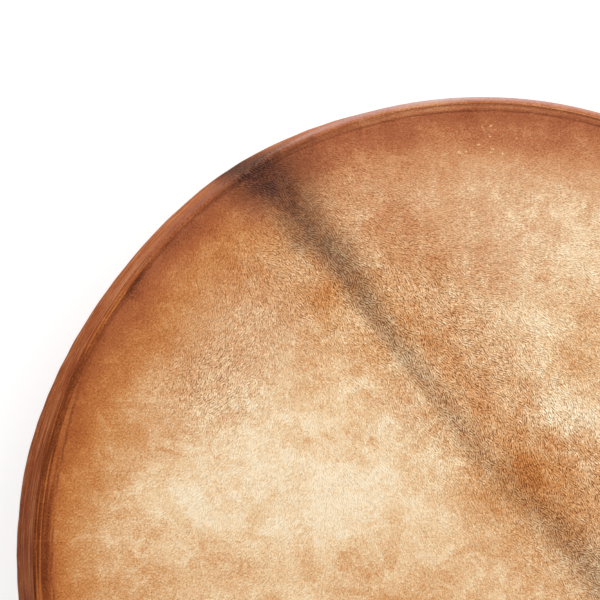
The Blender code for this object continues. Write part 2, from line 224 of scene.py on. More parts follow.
def tube_grid(line, run, sides, section):
    """A tube along a line: its section's radius is section(angle, run).

    The section's axes are turned from each ring to the next by the least turn that keeps them
    square to the line, found from the change of direction."""
    ahead = np.gradient(line, axis=0)
    ahead /= np.linalg.norm(ahead, axis=1, keepdims=True)
    across = np.empty_like(ahead)
    side = np.cross(ahead[0], (0.0, 0.0, 1.0))
    for i, way in enumerate(ahead):
        side = side - way * (side @ way)
        side /= np.linalg.norm(side)
        across[i] = side
    up = np.cross(ahead, across)
    angle = np.arange(sides) * 2 * math.pi / sides
    radius = section(angle[None, :], run[:, None])[..., None]
    circle = across[:, None] * np.cos(angle)[None, :, None] + up[:, None] * np.sin(angle)[None, :, None]
    return line[:, None] + circle * radius


def closed_tube(grid, finish=0):
    """The tube's grid with a flat end at each end."""
    ends = [np.stack([np.broadcast_to(grid[i].mean(0), grid[i].shape), grid[i]]) for i in (0, -1)]
    return [(each, True, finish) for each in (grid, *ends)]


# Finishes


class Value:
    """A node's output that can be added, taken away and multiplied like a number."""

    def __init__(self, nodes, socket):
        self.nodes = nodes
        self.socket = socket

    def __add__(self, other):
        return self.nodes.maths("ADD", self, other)

    def __sub__(self, other):
        return self.nodes.maths("SUBTRACT", self, other)

    def __rsub__(self, other):
        return self.nodes.maths("SUBTRACT", other, self)

    def __mul__(self, other):
        return self.nodes.maths("MULTIPLY", self, other)


class Nodes:
    """A node tree and short calls for its nodes; what a socket is given is a number or a Value."""

    def __init__(self, tree):
        self.tree = tree

    def feed(self, socket, value):
        if isinstance(value, Value):
            self.tree.links.new(value.socket, socket)
        elif isinstance(value, tuple) and socket.type == "RGBA":
            socket.default_value = (*value[:3], 1.0)
        else:
            socket.default_value = value

    def node(self, kind, output=0, settings=None, values=(), **inputs):
        """One output of a new node, by number or name, or all of them where output is None."""
        made = self.tree.nodes.new("ShaderNode" + kind)
        for key, value in (settings or {}).items():
            setattr(made, key, value)
        for socket, value in zip(made.inputs, values):
            self.feed(socket, value)
        for key, value in inputs.items():
            self.feed(made.inputs[key.replace("_", " ")], value)
        if output is None:
            return [Value(self, each) for each in made.outputs]
        return Value(self, made.outputs[output])

    def place(self):
        return self.node("TexCoord", "Object")

    def field(self, name, output="Fac"):
        return self.node("Attribute", output, {"attribute_name": name})

    def maths(self, operation, *values, clamp=False):
        return self.node("Math", 0, {"operation": operation, "use_clamp": clamp}, values)

    def arrow(self, operation, *values):
        output = "Value" if operation in ("DOT_PRODUCT", "LENGTH") else "Vector"
        return self.node("VectorMath", output, {"operation": operation}, values)

    def join(self, x, y, z):
        return self.node("CombineXYZ", X=x, Y=y, Z=z)

    def split(self, arrow):
        return self.node("SeparateXYZ", None, Vector=arrow)

    def stretch(self, vector, scale=(1.0, 1.0, 1.0), shift=(0.0, 0.0, 0.0), turn=0.0):
        return self.node("Mapping", Vector=vector, Scale=scale, Location=shift, Rotation=(0.0, 0.0, turn))

    def shifted(self, vector, x, y, z=0.0):
        return self.stretch(vector, shift=(x, y, z))

    def noise(self, vector, scale, detail=2.0, rough=0.5, warp=0.0):
        return self.node("TexNoise", "Fac", Vector=vector, Scale=scale, Detail=detail, Roughness=rough,
                         Distortion=warp)

    def ease(self, value, low, high, start=0.0, end=1.0, kind="SMOOTHSTEP"):
        """Goes from start to end, with soft ends, while the value goes from low to high."""
        return self.node("MapRange", 0, {"interpolation_type": kind}, (value, low, high, start, end))

    def slope(self, value, low, high, start, end):
        """Goes evenly from start to end while the value goes from low to high."""
        return self.ease(value, low, high, start, end, "LINEAR")

    def blend(self, share, first, second, mode="MIX"):
        made = self.tree.nodes.new("ShaderNodeMix")
        made.data_type = "RGBA"
        made.blend_type = mode
        self.feed(made.inputs["Factor"], share)
        for socket, colour in zip([s for s in made.inputs if s.type == "RGBA"], (first, second)):
            self.feed(socket, colour)
        return Value(self, [s for s in made.outputs if s.type == "RGBA"][0])

    def ramp(self, value, stops):
        made = self.tree.nodes.new("ShaderNodeValToRGB")
        self.feed(made.inputs[0], value)
        spots = made.color_ramp.elements
        for i, (share, colour) in enumerate(stops):
            spot = spots[i] if i < 2 else spots.new(share)
            spot.position = share
            spot.color = (*colour, 1.0)
        return Value(self, made.outputs["Color"])

    def seen_by(self, *kinds):
        """1 for rays of the kinds that are named, such as Camera or Shadow, and 0 for all others."""
        path = self.tree.nodes.new("ShaderNodeLightPath")
        seen, *others = (Value(self, path.outputs[f"Is {kind} Ray"]) for kind in kinds)
        for other in others:
            seen = self.maths("MAXIMUM", seen, other)
        return seen


class Finish(Nodes):
    """A material whose colour, roughness and bump come from nodes."""

    def __init__(self, name, roughness=0.5, metallic=0.0, specular=0.5):
        self.material = bpy.data.materials.new(name)
        self.material.use_nodes = True
        super().__init__(self.material.node_tree)
        self.shader = self.tree.nodes["Principled BSDF"]
        self.shader.inputs["Roughness"].default_value = roughness
        self.shader.inputs["Metallic"].default_value = metallic
        self.shader.inputs["Specular IOR Level"].default_value = specular

    def colour(self, value):
        self.feed(self.shader.inputs["Base Color"], value)

    def roughness(self, value):
        self.feed(self.shader.inputs["Roughness"], value)

    def bump(self, height, distance, strength):
        bump = self.node("Bump", Height=height, Distance=distance, Strength=strength)
        self.feed(self.shader.inputs["Normal"], bump)


# The hide's marks: where the dark line of the spine runs, and how its colour lies

SPINE = np.array([
    (-198, 320), (-152, 238), (-137, 212), (-128, 204), (-115, 195), (-107, 184), (-99, 174),
    (-85, 160), (-59, 123), (-34, 91), (-6, 53), (30, 20), (68, -22), (98, -74), (116, -130),
    (127, -190), (130, -240), (126, -330),
]) / 1000.0
SPINE_DARK = [(0, .92), (45, .90), (60, .79), (85, .68), (105, .62), (145, .42), (190, .27),
              (240, .20), (290, .29), (330, .36), (420, .56), (570, .85)]
SPINE_WIDE = [(-60, 16), (0, 20), (35, 21), (60, 16), (85, 10), (105, 9), (145, 6), (190, 5),
              (240, 7), (290, 9), (330, 12), (440, 13), (570, 18)]
RIM_STAIN = [(-180, 24), (-120, 20), (0, 22), (50, 30), (90, 34), (120, 32), (150, 34), (180, 25)]
# Tones over the rim and the wall by angle in degrees: partly the hide's own tone, partly painted light,
# lighter towards the top where the light falls; the wall's are set lighter than the rim's to make up for
# its shade
RIM_TONE_AND_PAINTED_LIGHT = [(-180, .09), (-150, .20), (-60, .16), (0, .20), (60, .24), (80, .25), (97, .31), (115, .22),
            (135, .18), (150, .17), (158, .12), (165, .11), (180, .11)]
SIDE_TONE_AND_PAINTED_LIGHT = [(-180, .24), (-150, .30), (-60, .30), (0, .34), (60, .40), (95, .46), (115, .38),
             (135, .36), (150, .32), (165, .23), (180, .24)]
CREASE = [(-180, 239.4), (-150, 242.5), (-60, 244.0), (60, 242.0), (95, 241.6), (112, 242.2),
          (130, 244.7), (152, 244.7), (166, 240.6), (180, 239.4)]
# Where the hair swirls: middle and reach in mm, and the angle it lies at in degrees
LAY = [
    (0, 212, 34, 13), (-100, 190, 24, 152), (-36, 178, 22, 168), (-95, 156, 22, 140), (5, 158, 26, 168),
    (-150, 136, 22, 80), (-50, 134, 26, 128), (-165, 110, 24, 58), (-92, 110, 22, 120), (12, 112, 28, 140),
    (-195, 80, 28, 44), (-133, 66, 30, 62), (-60, 60, 26, 118), (15, 60, 30, 115),
]
# Where its colour is cooler or warmer: middle and reach in mm, strength
COOL_PATCHES = [
    (-125, 130, 35, .6), (-150, 88, 38, .55), (-128, 187, 11, .6), (-172, 186, 9, .6),
    (-66, 127, 24, -.6), (46, 112, 22, -.4),
    (10, 158, 28, .3), (40, 195, 30, .3), (-50, 72, 16, .4), (25, 36, 30, -.3),
]
# Soft patches, paler or darker: middle, half length and width in mm, turn in degrees, strength. The first,
# broad pale one at the lower middle is partly the hide's cream and partly painted light, the soft
# brightening there laid into the tone
PATCHES = [
    (-95, 34, 85, 26, 4, .34), (-178, 36, 40, 30, 10, .07), (-183, 29, 9, 9, 0, .15),
    (-199, 43, 9, 9, 0, -.09), (-215, 42, 18, 22, 0, -.06), (-165, 30, 10, 10, 0, .08),
    (-132, 52, 26, 12, 0, .10), (-8, 32, 24, 12, 0, -.15), (-34, 50, 10, 12, 0, -.08),
    (-4, 50, 44, 14, -65, -.12), (22, 46, 10, 9, 0, -.15), (37, 35, 30, 18, -30, -.25),
    (-224, 69, 9, 20, 15, -.08), (-122, 74, 30, 17, -12, .21), (-168, 75, 16, 12, 0, .14),
    (-80, 90, 14, 12, 0, .15), (-57, 72, 26, 13, -30, .19), (-17, 71, 9, 9, 0, .09),
    (-4, 83, 11, 15, 0, -.14), (17, 78, 11, 9, 0, -.08), (48, 78, 19, 12, -5, .38),
    (12, 60, 22, 10, -50, -.14), (-189, 108, 9, 9, 0, -.06), (-150, 99, 10, 9, 0, .09),
    (-118, 99, 22, 14, 0, .12), (-100, 113, 10, 8, 0, -.09), (-67, 113, 9, 9, 0, -.07),
    (-14, 97, 9, 9, 0, -.09), (31, 103, 13, 13, 0, .16), (46, 107, 10, 9, 0, -.17),
    (36, 113, 14, 10, 0, .10), (-34, 120, 18, 10, -40, -.16), (-59, 123, 10, 14, -50, -.06),
    (30, 128, 34, 14, -20, .14), (53, 119, 10, 18, 0, -.11), (-1, 118, 9, 8, 0, -.06),
    (-190, 128, 14, 30, -25, -.07), (-126, 125, 18, 12, -35, .08), (-132, 149, 20, 16, -40, -.09),
    (-88, 143, 10, 16, -50, -.24), (-14, 148, 12, 9, 0, .08), (0, 148, 12, 12, 0, -.10),
    (-198, 149, 10, 15, 20, -.15), (-195, 153, 8, 2.6, 52, -.22), (-112, 160, 12, 11, -20, .06),
    (-117, 169, 8, 8, 0, -.06), (-42, 160, 28, 15, -55, -.13), (-67, 169, 9, 9, 0, -.06),
    (16, 161, 14, 11, 0, .12), (-20, 162, 12, 10, 0, -.06), (48, 172, 26, 23, 0, .26),
    (-161, 176, 22, 8, 42, -.10), (-157, 185, 9, 7, 0, .07), (-129, 186, 13, 9, -20, -.11),
    (-46, 184, 12, 8, 0, -.08), (-32, 177, 15, 9, 0, -.09), (20, 184, 14, 14, 0, .10),
    (49, 192, 12, 12, 0, .08), (-34, 197, 9, 8, 0, .10), (8, 200, 26, 14, 0, .12),
    (-96, 212, 13, 9, 15, -.12), (-47, 224, 16, 7, 10, -.10),
    (54, 241, 14, 7, 0, -.10), (16, 222, 36, 8, -2, -.10),
    (-120, -70, 60, 44, 30, .22), (-40, -120, 50, 40, -30, .20), (40, -150, 30, 34, 0, .10),
    (150, 60, 40, 50, 0, .20), (150, -60, 26, 50, 20, .14), (110, 140, 26, 22, -20, -.10),
    (190, -120, 30, 30, 0, -.08), (-180, -120, 26, 40, 40, -.10), (-20, -205, 44, 16, 0, -.06),
    (100, 20, 24, 30, 30, -.12),
]
# Dark smears near the rim: middle and size in mm, strength
SMEARS = [
    (-137, 204, 7, .95), (-104, 171, 7, .66), (-107, 221, 4, .5), (-99, 225, 3, .45),
    (-115, 216, 4, .45), (-150, 197, 4, .35),
]
# Small marks with crisp edges: place and size in mm, how much paler or darker
MARKS = [
    (-95, 72, 8, .26), (-84, 70, 6, .22), (-131, 63, 6, .20), (-106, 52, 11, .24), (-51, 69, 8, .20),
    (-70, 44, 13, .18), (-92, 44, 8, .16), (-69, 88, 3.0, -.36), (-74, 80, 2.5, -.28),
    (-87, 67, 3, -.28), (-96, 60, 5, -.30), (-101, 64, 3, -.30), (-116, 71, 3, -.22), (-120, 36, 4, -.30),
    (-93, 36, 4, -.26), (-76, 58, 9, -.17), (-62, 62, 7, -.15), (34, 64, 10, -.32), (18, 66, 6, -.24),
    (-66, 88, 2.5, -.26), (-140, 92, 6, -.14), (-150, 60, 8, .16), (-160, 48, 9, .18),
    (-30, 60, 8, .18), (-14, 66, 6, -.18), (8, 100, 8, .18), (40, 140, 8, .14), (-20, 134, 7, -.14),
    (-58, 142, 6, -.18), (-40, 178, 7, -.12),
]


def spine_place(x, y):
    """For each point, how far along the spine it lies, how far to its side, and the spine's lean."""
    spot = np.stack([x, y], -1)
    best, along, side, lean = (np.full(x.shape, v) for v in (9.0, 0.0, 0.0, 0.0))
    run = -0.095
    for start, end in zip(SPINE[:-1], SPINE[1:]):
        step = end - start
        length = np.linalg.norm(step)
        step = step / length
        share = np.clip((spot - start) @ step, 0.0, length)
        off = spot - start - share[..., None] * step
        away = np.linalg.norm(off, axis=-1)
        near = away < best
        best = np.where(near, away, best)
        along = np.where(near, run + share, along)
        side = np.where(near, np.sign(step[0] * off[..., 1] - step[1] * off[..., 0]), side)
        lean = np.where(near, math.atan2(step[1], step[0]), lean)
        run += length
    return along, best * side, lean


def bell(x, y, middle_x, middle_y, reach):
    """1 at a middle given in mm, fading with the distance over its reach."""
    return np.exp(-((x * 1000 - middle_x) ** 2 + (y * 1000 - middle_y) ** 2) / reach**2)


def by_angle(angle, places):
    """A value that changes round the drum, read between places given as (degrees, value)."""
    return np.interp(angle, *zip(*places))


def paleness(x, y, radius, angle):
    """How pale the hide is: its soft patches less the rim's stain, then the rim's and wall's tones, which
    hold painted light: lighter towards the rim's top where the light falls, and the wall lighter than the
    rim to make up for its shade.
    """
    pale = np.full(x.shape, 0.65)
    for mx, my, half_length, half_width, turn, strength in PATCHES:
        c, s = math.cos(math.radians(turn)), math.sin(math.radians(turn))
        u = ((x * 1000 - mx) * c + (y * 1000 - my) * s) / half_length
        v = ((y * 1000 - my) * c - (x * 1000 - mx) * s) / half_width
        pale += strength * np.exp(-(u * u + v * v))
    stain = by_angle(angle, RIM_STAIN) / 1000
    pale -= 0.47 * np.exp(-np.maximum(DRUM_RADIUS - 0.006 - radius, 0.0) / stain)
    pale -= 0.07 * np.exp(-(((angle - 95.0) / 22.0) ** 2) - ((0.243 - radius) / 0.016) ** 2)
    # Over the rim and the wall the tone gives way to tones that hold painted light
    over_rim = np.clip((radius - by_angle(angle, CREASE) / 1000) / 0.003, 0.0, 1.0)
    pale += (by_angle(angle, RIM_TONE_AND_PAINTED_LIGHT) - pale) * over_rim
    over_wall = np.clip((radius - 0.2495) / 0.004, 0.0, 1.0)
    pale += (by_angle(angle, SIDE_TONE_AND_PAINTED_LIGHT) - pale) * over_wall
    return pale


def spine_darkness(x, y, along, across):
    """How dark the spine is, which fades a little slower on its right, and its smears at the rim."""
    dark = np.interp(along * 1000, *zip(*SPINE_DARK))
    wide = np.interp(along * 1000, *zip(*SPINE_WIDE)) / 1000
    left = np.exp(-((across / (wide * 0.8)) ** 2))
    right = np.exp(-((np.maximum(across - 0.002, 0.0) / (wide * 1.2)) ** 2))
    dark = dark * np.where(across < 0, left, right)
    for mx, my, size, strength in SMEARS:
        dark = np.maximum(dark, strength * bell(x, y, mx, my, size))
    return dark


def hair_lay(x, y, across, lean):
    """Angle at which the hair lies: it leans away on both sides of the spine, but for its swirls."""
    side = np.interp(across * 1000, [-160, -119, -81, -32, 0, 70, 135, 200],
                     [-92, -82, -40, 5, 9, 20, 47, 60])
    lay = 0.03 * np.exp(2j * (lean + np.radians(side)))
    for mx, my, reach, angle in LAY:
        lay = lay + bell(x, y, mx, my, reach) * np.exp(2j * math.radians(angle))
    return np.angle(lay)


def hair_thickness(x, y, radius, across):
    """How thick the stubble is: most to the right of the spine, least near the rim and at the top."""
    nap = 0.24 + 0.76 * np.exp(-((across - 0.014) / 0.034) ** 2) + 0.36 * (across > 0)
    nap += 0.55 * np.exp(-(((x + 0.118) / 0.045) ** 2) - ((y - 0.150) / 0.040) ** 2)
    nap += 0.60 * np.exp(-(((x + 0.155) / 0.026) ** 2) - ((y - 0.095) / 0.026) ** 2)
    nap = np.clip(nap, 0.25, 1.0)
    nap *= 1.0 - 0.75 * np.exp(-np.maximum(0.246 - radius, 0.0) / 0.016)
    nap *= np.interp(y, [0.13, 0.18, 0.22], [1.0, 0.75, 0.55])
    return np.maximum(nap, 0.30 * np.clip((radius - 0.2495) / 0.006, 0.0, 1.0))


def coolness_and_painted_sheen(x, y, run, across):
    """How cool the tone is: right of the spine and in the cool patches; on the rim's lit top it is a
    painted sheen, pinker where the light falls.
    """
    angle = np.degrees(np.arctan2(y, x))
    cool = np.clip(0.5 + across / 0.05, 0.0, 1.0) * np.interp(y, [0.06, 0.14, 0.19], [0.3, 0.4, 0.9])
    for mx, my, reach, strength in COOL_PATCHES:
        cool += strength * bell(x, y, mx, my, reach)
    near_rim = np.clip((run - 0.222) / 0.02, 0.0, 1.0) * np.exp(-(((angle - 136.0) / 18.0) ** 2))
    # Painted sheen: the rim's top, where the light falls, is painted cooler and pinker
    top = np.clip(1.0 - np.abs(angle - 95.0) / 60.0, 0.0, 1.0) ** 2
    top = np.where(run > 0.310, 0.15, top)
    return np.where(run > 0.2462, top, np.clip(cool + 0.7 * near_rim + top * (run > 0.242), 0.0, 1.0))


def add_hide_fields(hide, x, y, flat, run):
    """Stores what the hide's finish reads at each point, from its place on the hide laid flat.

    The flow holds the cosine and sine of twice the hair's angle, and the crisp marks."""
    u, v = flat[:, 0], flat[:, 1]
    radius, angle = np.hypot(u, v), np.degrees(np.arctan2(v, u))
    along, across, lean = spine_place(u, v)
    lay = hair_lay(u, v, across, lean)
    mark = sum(strength * bell(u, v, mx, my, size) for mx, my, size, strength in MARKS)
    around = np.stack([x, y, 0 * x], -1) / np.maximum(np.hypot(x, y), 1e-6)[:, None]
    behind = np.clip((run - FOOT) / 0.006, 0.0, 1.0) * (0.16 + 0.08 * soft_noise(around, 7.0, 12))
    fields = {
        "pale": paleness(u, v, radius, angle) + behind,
        "dark": spine_darkness(u, v, along, across),
        "nap": hair_thickness(u, v, radius, across),
        "run": run,
        "cool": coolness_and_painted_sheen(x, y, run, across),
        "flow": np.stack([np.cos(lay), np.sin(lay), mark], -1),
        "flat": flat,
        "crease": run - crease_place(x, y),
    }
    for name, values in fields.items():
        add_field(hide, name, values)


# The hide


def outer_profile():
    """Outer face of the hide in radius and height, from the middle of the head to the tabs.

    The head is flat before it rises over the rim's round edge; below, it turns in under the hoop
    and rises along the flap."""
    flat = np.concatenate([np.linspace(0.0, 0.236, 58), np.linspace(0.2385, EDGE_CENTRE, 25)[:-1]])
    height = HEAD_HEIGHT + 0.0008 * np.clip((flat - 0.2451) / 0.0009, 0.0, 1.0) ** 1.5
    upper = arc(EDGE_CENTRE, DRUM_DEPTH - EDGE_ROUND, EDGE_ROUND, 90, 0, 8)
    wall = np.linspace(DRUM_DEPTH - EDGE_ROUND, EDGE_ROUND, 26)[1:-1]
    lower = arc(EDGE_CENTRE, EDGE_ROUND, EDGE_ROUND, 0, -90, 6)
    flap = np.linspace(FLAP_START, TAB_START, 5)
    return np.concatenate([
        np.stack([flat, height], -1), upper,
        np.stack([np.full(len(wall), DRUM_RADIUS), wall], -1), lower,
        [(0.2425, 0.0)], np.stack([flap, flap_height(flap)], -1),
    ])


def inner_profile():
    """The hide's flesh side, one thickness in from its outer face."""
    flat = np.linspace(0.0, 0.2440, 18)
    upper = arc(EDGE_CENTRE, DRUM_DEPTH - EDGE_ROUND, EDGE_ROUND - HIDE, 90, 0, 4)
    lower = arc(EDGE_CENTRE, EDGE_ROUND, EDGE_ROUND - HIDE, 0, -90, 4)
    flap = np.linspace(FLAP_START, TAB_START, 4)
    return np.concatenate([
        np.stack([flat, np.full(len(flat), HEAD_HEIGHT - HIDE)], -1), upper,
        np.stack([np.full(6, DRUM_RADIUS - HIDE), np.linspace(0.054, 0.011, 6)], -1), lower,
        np.stack([flap, flap_height(flap)], -1) + inner_offset(),
    ])


def flap_height(radius):
    """Height of the flap's outer face, which rises inwards from the back edge."""
    return np.maximum(0.0, FLAP_START - radius) * math.tan(FLAP_SLOPE)


def inner_offset():
    """From the flap's outer face to its flesh side, in radius and height."""
    return np.array([HIDE * math.sin(FLAP_SLOPE), HIDE * math.cos(FLAP_SLOPE)])


def turned_grid(profile, columns):
    """A profile of radius and height carried round the drum's axis."""
    angle = np.arange(columns) * 2 * math.pi / columns + LEG_STEP / 2
    ring = np.stack([np.cos(angle), np.sin(angle)], -1)
    flat = profile[:, 0, None, None] * ring
    return np.concatenate([flat, np.broadcast_to(profile[:, 1, None, None], (*flat.shape[:2], 1))], -1)


def tab_outline(middle):
    """One tab's outline as (angle, radius) pairs: its root, its right side, its cut end, its left side."""
    across = np.linspace(-0.5, 0.5, TAB_POINTS) * LEG_STEP
    wave = np.cos((across / LEG_STEP + 0.5) * math.pi) ** 2
    around = np.stack([np.cos(middle + across), np.sin(middle + across), 0 * across], -1)
    cut = FLAP_EDGE + SCALLOP_DEPTH * wave + 0.0005 * (soft_noise(around, 21.0, 4) + 1.0)
    down = np.linspace(0.0, 1.0, TAB_SIDE + 2)[1:-1]
    root = np.stack([across, np.full(TAB_POINTS, TAB_START)], -1)
    end = np.stack([across, cut], -1)
    sides = [
        np.stack([np.full(TAB_SIDE, across[i]), TAB_START + (cut[i] - TAB_START) * down], -1)
        for i in (-1, 0)
    ]
    return np.concatenate([root, sides[0], end[::-1], sides[1][::-1]])


def tab_grid(index, flesh):
    """One tab of the flap: rings that grow from the lace hole's torn edge out to the tab's outline.

    Each point slides in a straight line from the hole to the outline, in angle and radius."""
    middle = (index + 0.5) * LEG_STEP
    outline = tab_outline(middle)
    turn = np.arctan2(outline[:, 1] - HOLE_CIRCLE, outline[:, 0] * HOLE_CIRCLE)
    torn = HOLE_RADIUS * (1.0 + 0.05 * np.sin(3 * turn + index * 2.4) + 0.06 * np.cos(turn + 1.57))
    hole = torn[:, None] * np.stack([np.cos(turn) / HOLE_CIRCLE, np.sin(turn)], -1)
    hole[:, 1] += HOLE_CIRCLE
    share = np.array([0.0, 0.06, 0.16, 0.32, 0.54, 0.78, 1.0])[:, None, None]
    offset, radius = np.moveaxis(hole + share * (outline - hole), -1, 0)
    # The flap curls up between the holes, and its skin has a low lip round each
    depth = np.clip((TAB_START - radius) / (TAB_START - FLAP_EDGE), 0.0, 1.0)
    between = np.sin(np.clip(np.abs(offset) / LEG_STEP * 2, 0.0, 1.0) * math.pi / 2) ** 4
    away = np.hypot(offset * HOLE_CIRCLE, radius - HOLE_CIRCLE) - HOLE_RADIUS
    height = flap_height(radius) + 0.0012 * between * depth**2 + 0.00035 * np.exp(-((away / 0.0012) ** 2))
    if flesh:
        thin = 1.0 - 0.5 * np.exp(-((away / 0.0005) ** 2))
        radius, height = radius + inner_offset()[0], height + inner_offset()[1] * thin
    angle = middle + offset
    return np.stack([radius * np.cos(angle), radius * np.sin(angle), height], -1)


def laid_flat(x, y, z):
    """Each point's run, which is its way from the middle over the rim, down and under, and its
    place on the hide laid flat."""
    radius = np.hypot(x, y)
    bend = np.arctan2(radius - EDGE_CENTRE, np.maximum(z - DRUM_DEPTH + EDGE_ROUND, 1e-9))
    bend = EDGE_ROUND * np.clip(bend, 0.0, math.pi / 2)
    side = EDGE_CENTRE + bend + np.maximum(DRUM_DEPTH - EDGE_ROUND - z, 0.0)
    under = (z < 0.03) & (radius < EDGE_CENTRE)
    run = np.where(radius < EDGE_CENTRE, np.where(under, FOOT + EDGE_CENTRE - radius, radius), side)
    around = np.stack([x, y, 0 * x], -1) / np.maximum(radius, 1e-6)[:, None]
    return run, around * run[:, None]


def crease_place(x, y):
    """How far from the middle the crease lies, which is nearer to the rim or farther from it."""
    return by_angle(np.degrees(np.arctan2(y, x)), CREASE) / 1000


def hide_relief(points, run):
    """The hide's points with the crease and its low ridge, and the wall's shallow waves.

    The crease is a bell-shaped groove. The wall only goes in: by slow waves, finer ones, and puckers
    at its foot. The flap lifts between its root and its edge."""
    x, y, z = points.T
    radius = np.hypot(x, y)
    around = np.stack([x, y, 0 * x], -1) / np.maximum(radius, 1e-6)[:, None]
    past = run - crease_place(x, y)
    swell = 0.00010 * np.exp(-(((past + 0.0021) / 0.0009) ** 2))
    swell -= 0.00034 * np.exp(-((past / 0.00050) ** 2))
    raised = np.where(z > HEAD_HEIGHT - 0.0002, swell, 0.0)
    outside = radius > DRUM_RADIUS - HIDE / 2 - 0.004 * (1.0 - np.clip(z / 0.004, 0.0, 1.0))
    tall = np.stack([0 * z, 0 * z, z], -1)
    sag = soft_noise(around * 3.0 + tall * 210.0, 1.0, 21)
    fine = soft_noise(around * 9.0 + tall * 360.0, 1.0, 22)
    pleat = soft_noise(around * 34.0 + tall * 12.0, 1.0, 23) * np.clip(1.0 - z / 0.022, 0.0, 1.0)
    dent = 0.00014 * (1.0 - sag) + 0.00005 * (1.0 - fine) + 0.00024 * (1.0 - pleat)
    dent *= outside * np.clip(z / 0.002, 0.0, 1.0) * np.clip((DRUM_DEPTH - z) / 0.004, 0.15, 1.0)
    reach = np.clip((FLAP_START - radius) / (FLAP_START - FLAP_EDGE), 0.0, 1.0)
    wave = soft_noise(around * 26.0, 1.0, 24) + 1.0
    raised += np.where(z < 0.03, 0.00030 * wave * np.sin(reach * math.pi), 0.0)
    inward = (1.0 - dent / np.maximum(radius, 1e-6))
    return np.stack([x * inward, y * inward, z + raised], -1)


def make_hide(grain_side, flesh_side):
    """The whole rawhide: one closed skin with its outer face, its flesh side, the cut edges of its
    32 tabs and the walls of their lace holes."""
    columns = ARMS * LEGS_PER_ARM * (TAB_POINTS - 1)
    grids = [
        (turned_grid(outer_profile(), columns), True, 0),
        (turned_grid(inner_profile(), columns), True, 1),
    ]
    end = slice(TAB_POINTS + TAB_SIDE, 2 * TAB_POINTS + TAB_SIDE)
    for index in range(ARMS * LEGS_PER_ARM):
        outer, inner = tab_grid(index, False), tab_grid(index, True)
        grids += [(outer, True, 0), (inner, True, 1), (np.stack([outer[0], inner[0]]), True, 0)]
        grids.append((np.stack([outer[-1, end], inner[-1, end]]), False, 0))
    hide = make_piece("rawhide", grids, [grain_side, flesh_side], weld=1e-6)
    points = read_points(hide)
    x, y, z = points.T
    run, flat = laid_flat(x, y, z)
    add_hide_fields(hide, x, y, flat, run)
    write_points(hide, lean_in(hide_relief(points, run)))
    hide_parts("head")
    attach(hide, "root")


# Tones of the hide from its darkest stain to its palest patches, on its warm and its cool side
WARM_TONES = [
    (0.00, (.150, .036, .012)), (0.13, (.315, .080, .022)), (0.25, (.425, .128, .034)),
    (0.37, (.545, .205, .058)), (0.49, (.625, .300, .115)), (0.62, (.730, .430, .215)),
    (0.76, (.825, .570, .325)), (0.88, (.875, .665, .425)), (1.00, (.905, .740, .520)),
]
COOL_TONES = [
    (0.00, (.150, .042, .020)), (0.13, (.335, .100, .042)), (0.25, (.440, .150, .064)),
    (0.37, (.560, .245, .110)), (0.49, (.630, .320, .158)), (0.62, (.690, .400, .215)),
    (0.76, (.790, .540, .320)), (0.88, (.855, .645, .410)), (1.00, (.890, .715, .490)),
]
# The spine's browns, the painted sheen on the rim's lit top, the chips, the painted shade in the crease and
# the painted reflection along the wall's foot
UMBER = (.090, .044, .038)
SOOT = (.125, .070, .056)
BARK = (.122, .050, .032)
PAINTED_RIM_SHEEN = (.53, .37, .35)
CHIP = (.84, .57, .31)
CREASE_PAINTED_SHADE = (.10, .026, .020)
FOOT_PAINTED_REFLECTION = (.58, .36, .24)
# These three multiply the colour that they lie on
WALL_RED = (1.03, 0.87, 1.0)
PALE_HAIR = (1.48, 1.70, 1.92)
DARK_HAIR = (.34, .23, .17)


def hair_cells(f, place, flow, shift, cell, swing):
    """Cells with one tuft or hair in each: how far along it and across it a point lies, and two dice.

    The cell swings the hair's lie by its first random number; the other two are the dice."""
    spot = f.arrow("ADD", place, shift)
    settings = {"voronoi_dimensions": "2D"}
    _, colour, middle, *_ = f.node("TexVoronoi", None, settings, Vector=spot, Scale=1.0 / cell)
    turn, first, second = f.node("SeparateColor", None, Color=colour)
    away = f.arrow("SUBTRACT", spot, middle)
    ahead = f.node("VectorRotate", 0, {"rotation_type": "Z_AXIS"}, Vector=(1.0, 0.0, 0.0),
                   Angle=flow + f.slope(turn, 0.0, 1.0, -swing, swing))
    beside = f.arrow("CROSS_PRODUCT", ahead, (0.0, 0.0, 1.0))
    return f.arrow("DOT_PRODUCT", away, ahead), f.arrow("DOT_PRODUCT", away, beside), first, second


def hair_nap(f, place, flow):
    """Close nap of the shaved hair: combed strokes and noise drawn out along the hair's lie.

    The strokes are a sine of the way across each small tuft, its phase moved by the noise."""
    along, across, dice, _ = hair_cells(f, place, flow, (0.0, 0.0, 0.0), 0.0048, 0.62)
    drawn = f.join(along * (1.0 / 0.0016), across * (1.0 / 0.0005), dice * 300.0)
    loose = f.noise(drawn, 1.0, 0.0, 0.5, 0.1)
    broken = f.noise(f.stretch(drawn, (1.0, 0.3, 1.0), (0.0, 0.0, 7.0)), 1.0, 0.0, 0.5)
    comb = f.maths("SINE", across * 5300.0 + loose * 5.0) * f.ease(broken, 0.38, 0.60, 0.03, 0.13)
    return comb + f.slope(loose, 0.0, 1.0, 0.30, 0.70)


def hair_marks(f, place, flow, shift, cell, half_width, half_length, share):
    """Single hairs: one dash in each cell, where the ways along and across the hair are small."""
    along, across, first, second = hair_cells(f, place, flow, shift, cell, 0.6)
    thin = f.ease(f.maths("ABSOLUTE", across), half_width * 0.4, half_width, 1.0, 0.0)
    short = f.ease(f.maths("ABSOLUTE", along), half_length * 0.6, half_length, 1.0, 0.0)
    strength = f.maths("LESS_THAN", first, share) * f.slope(second, 0.0, 1.0, 0.4, 1.0)
    return thin * short * strength


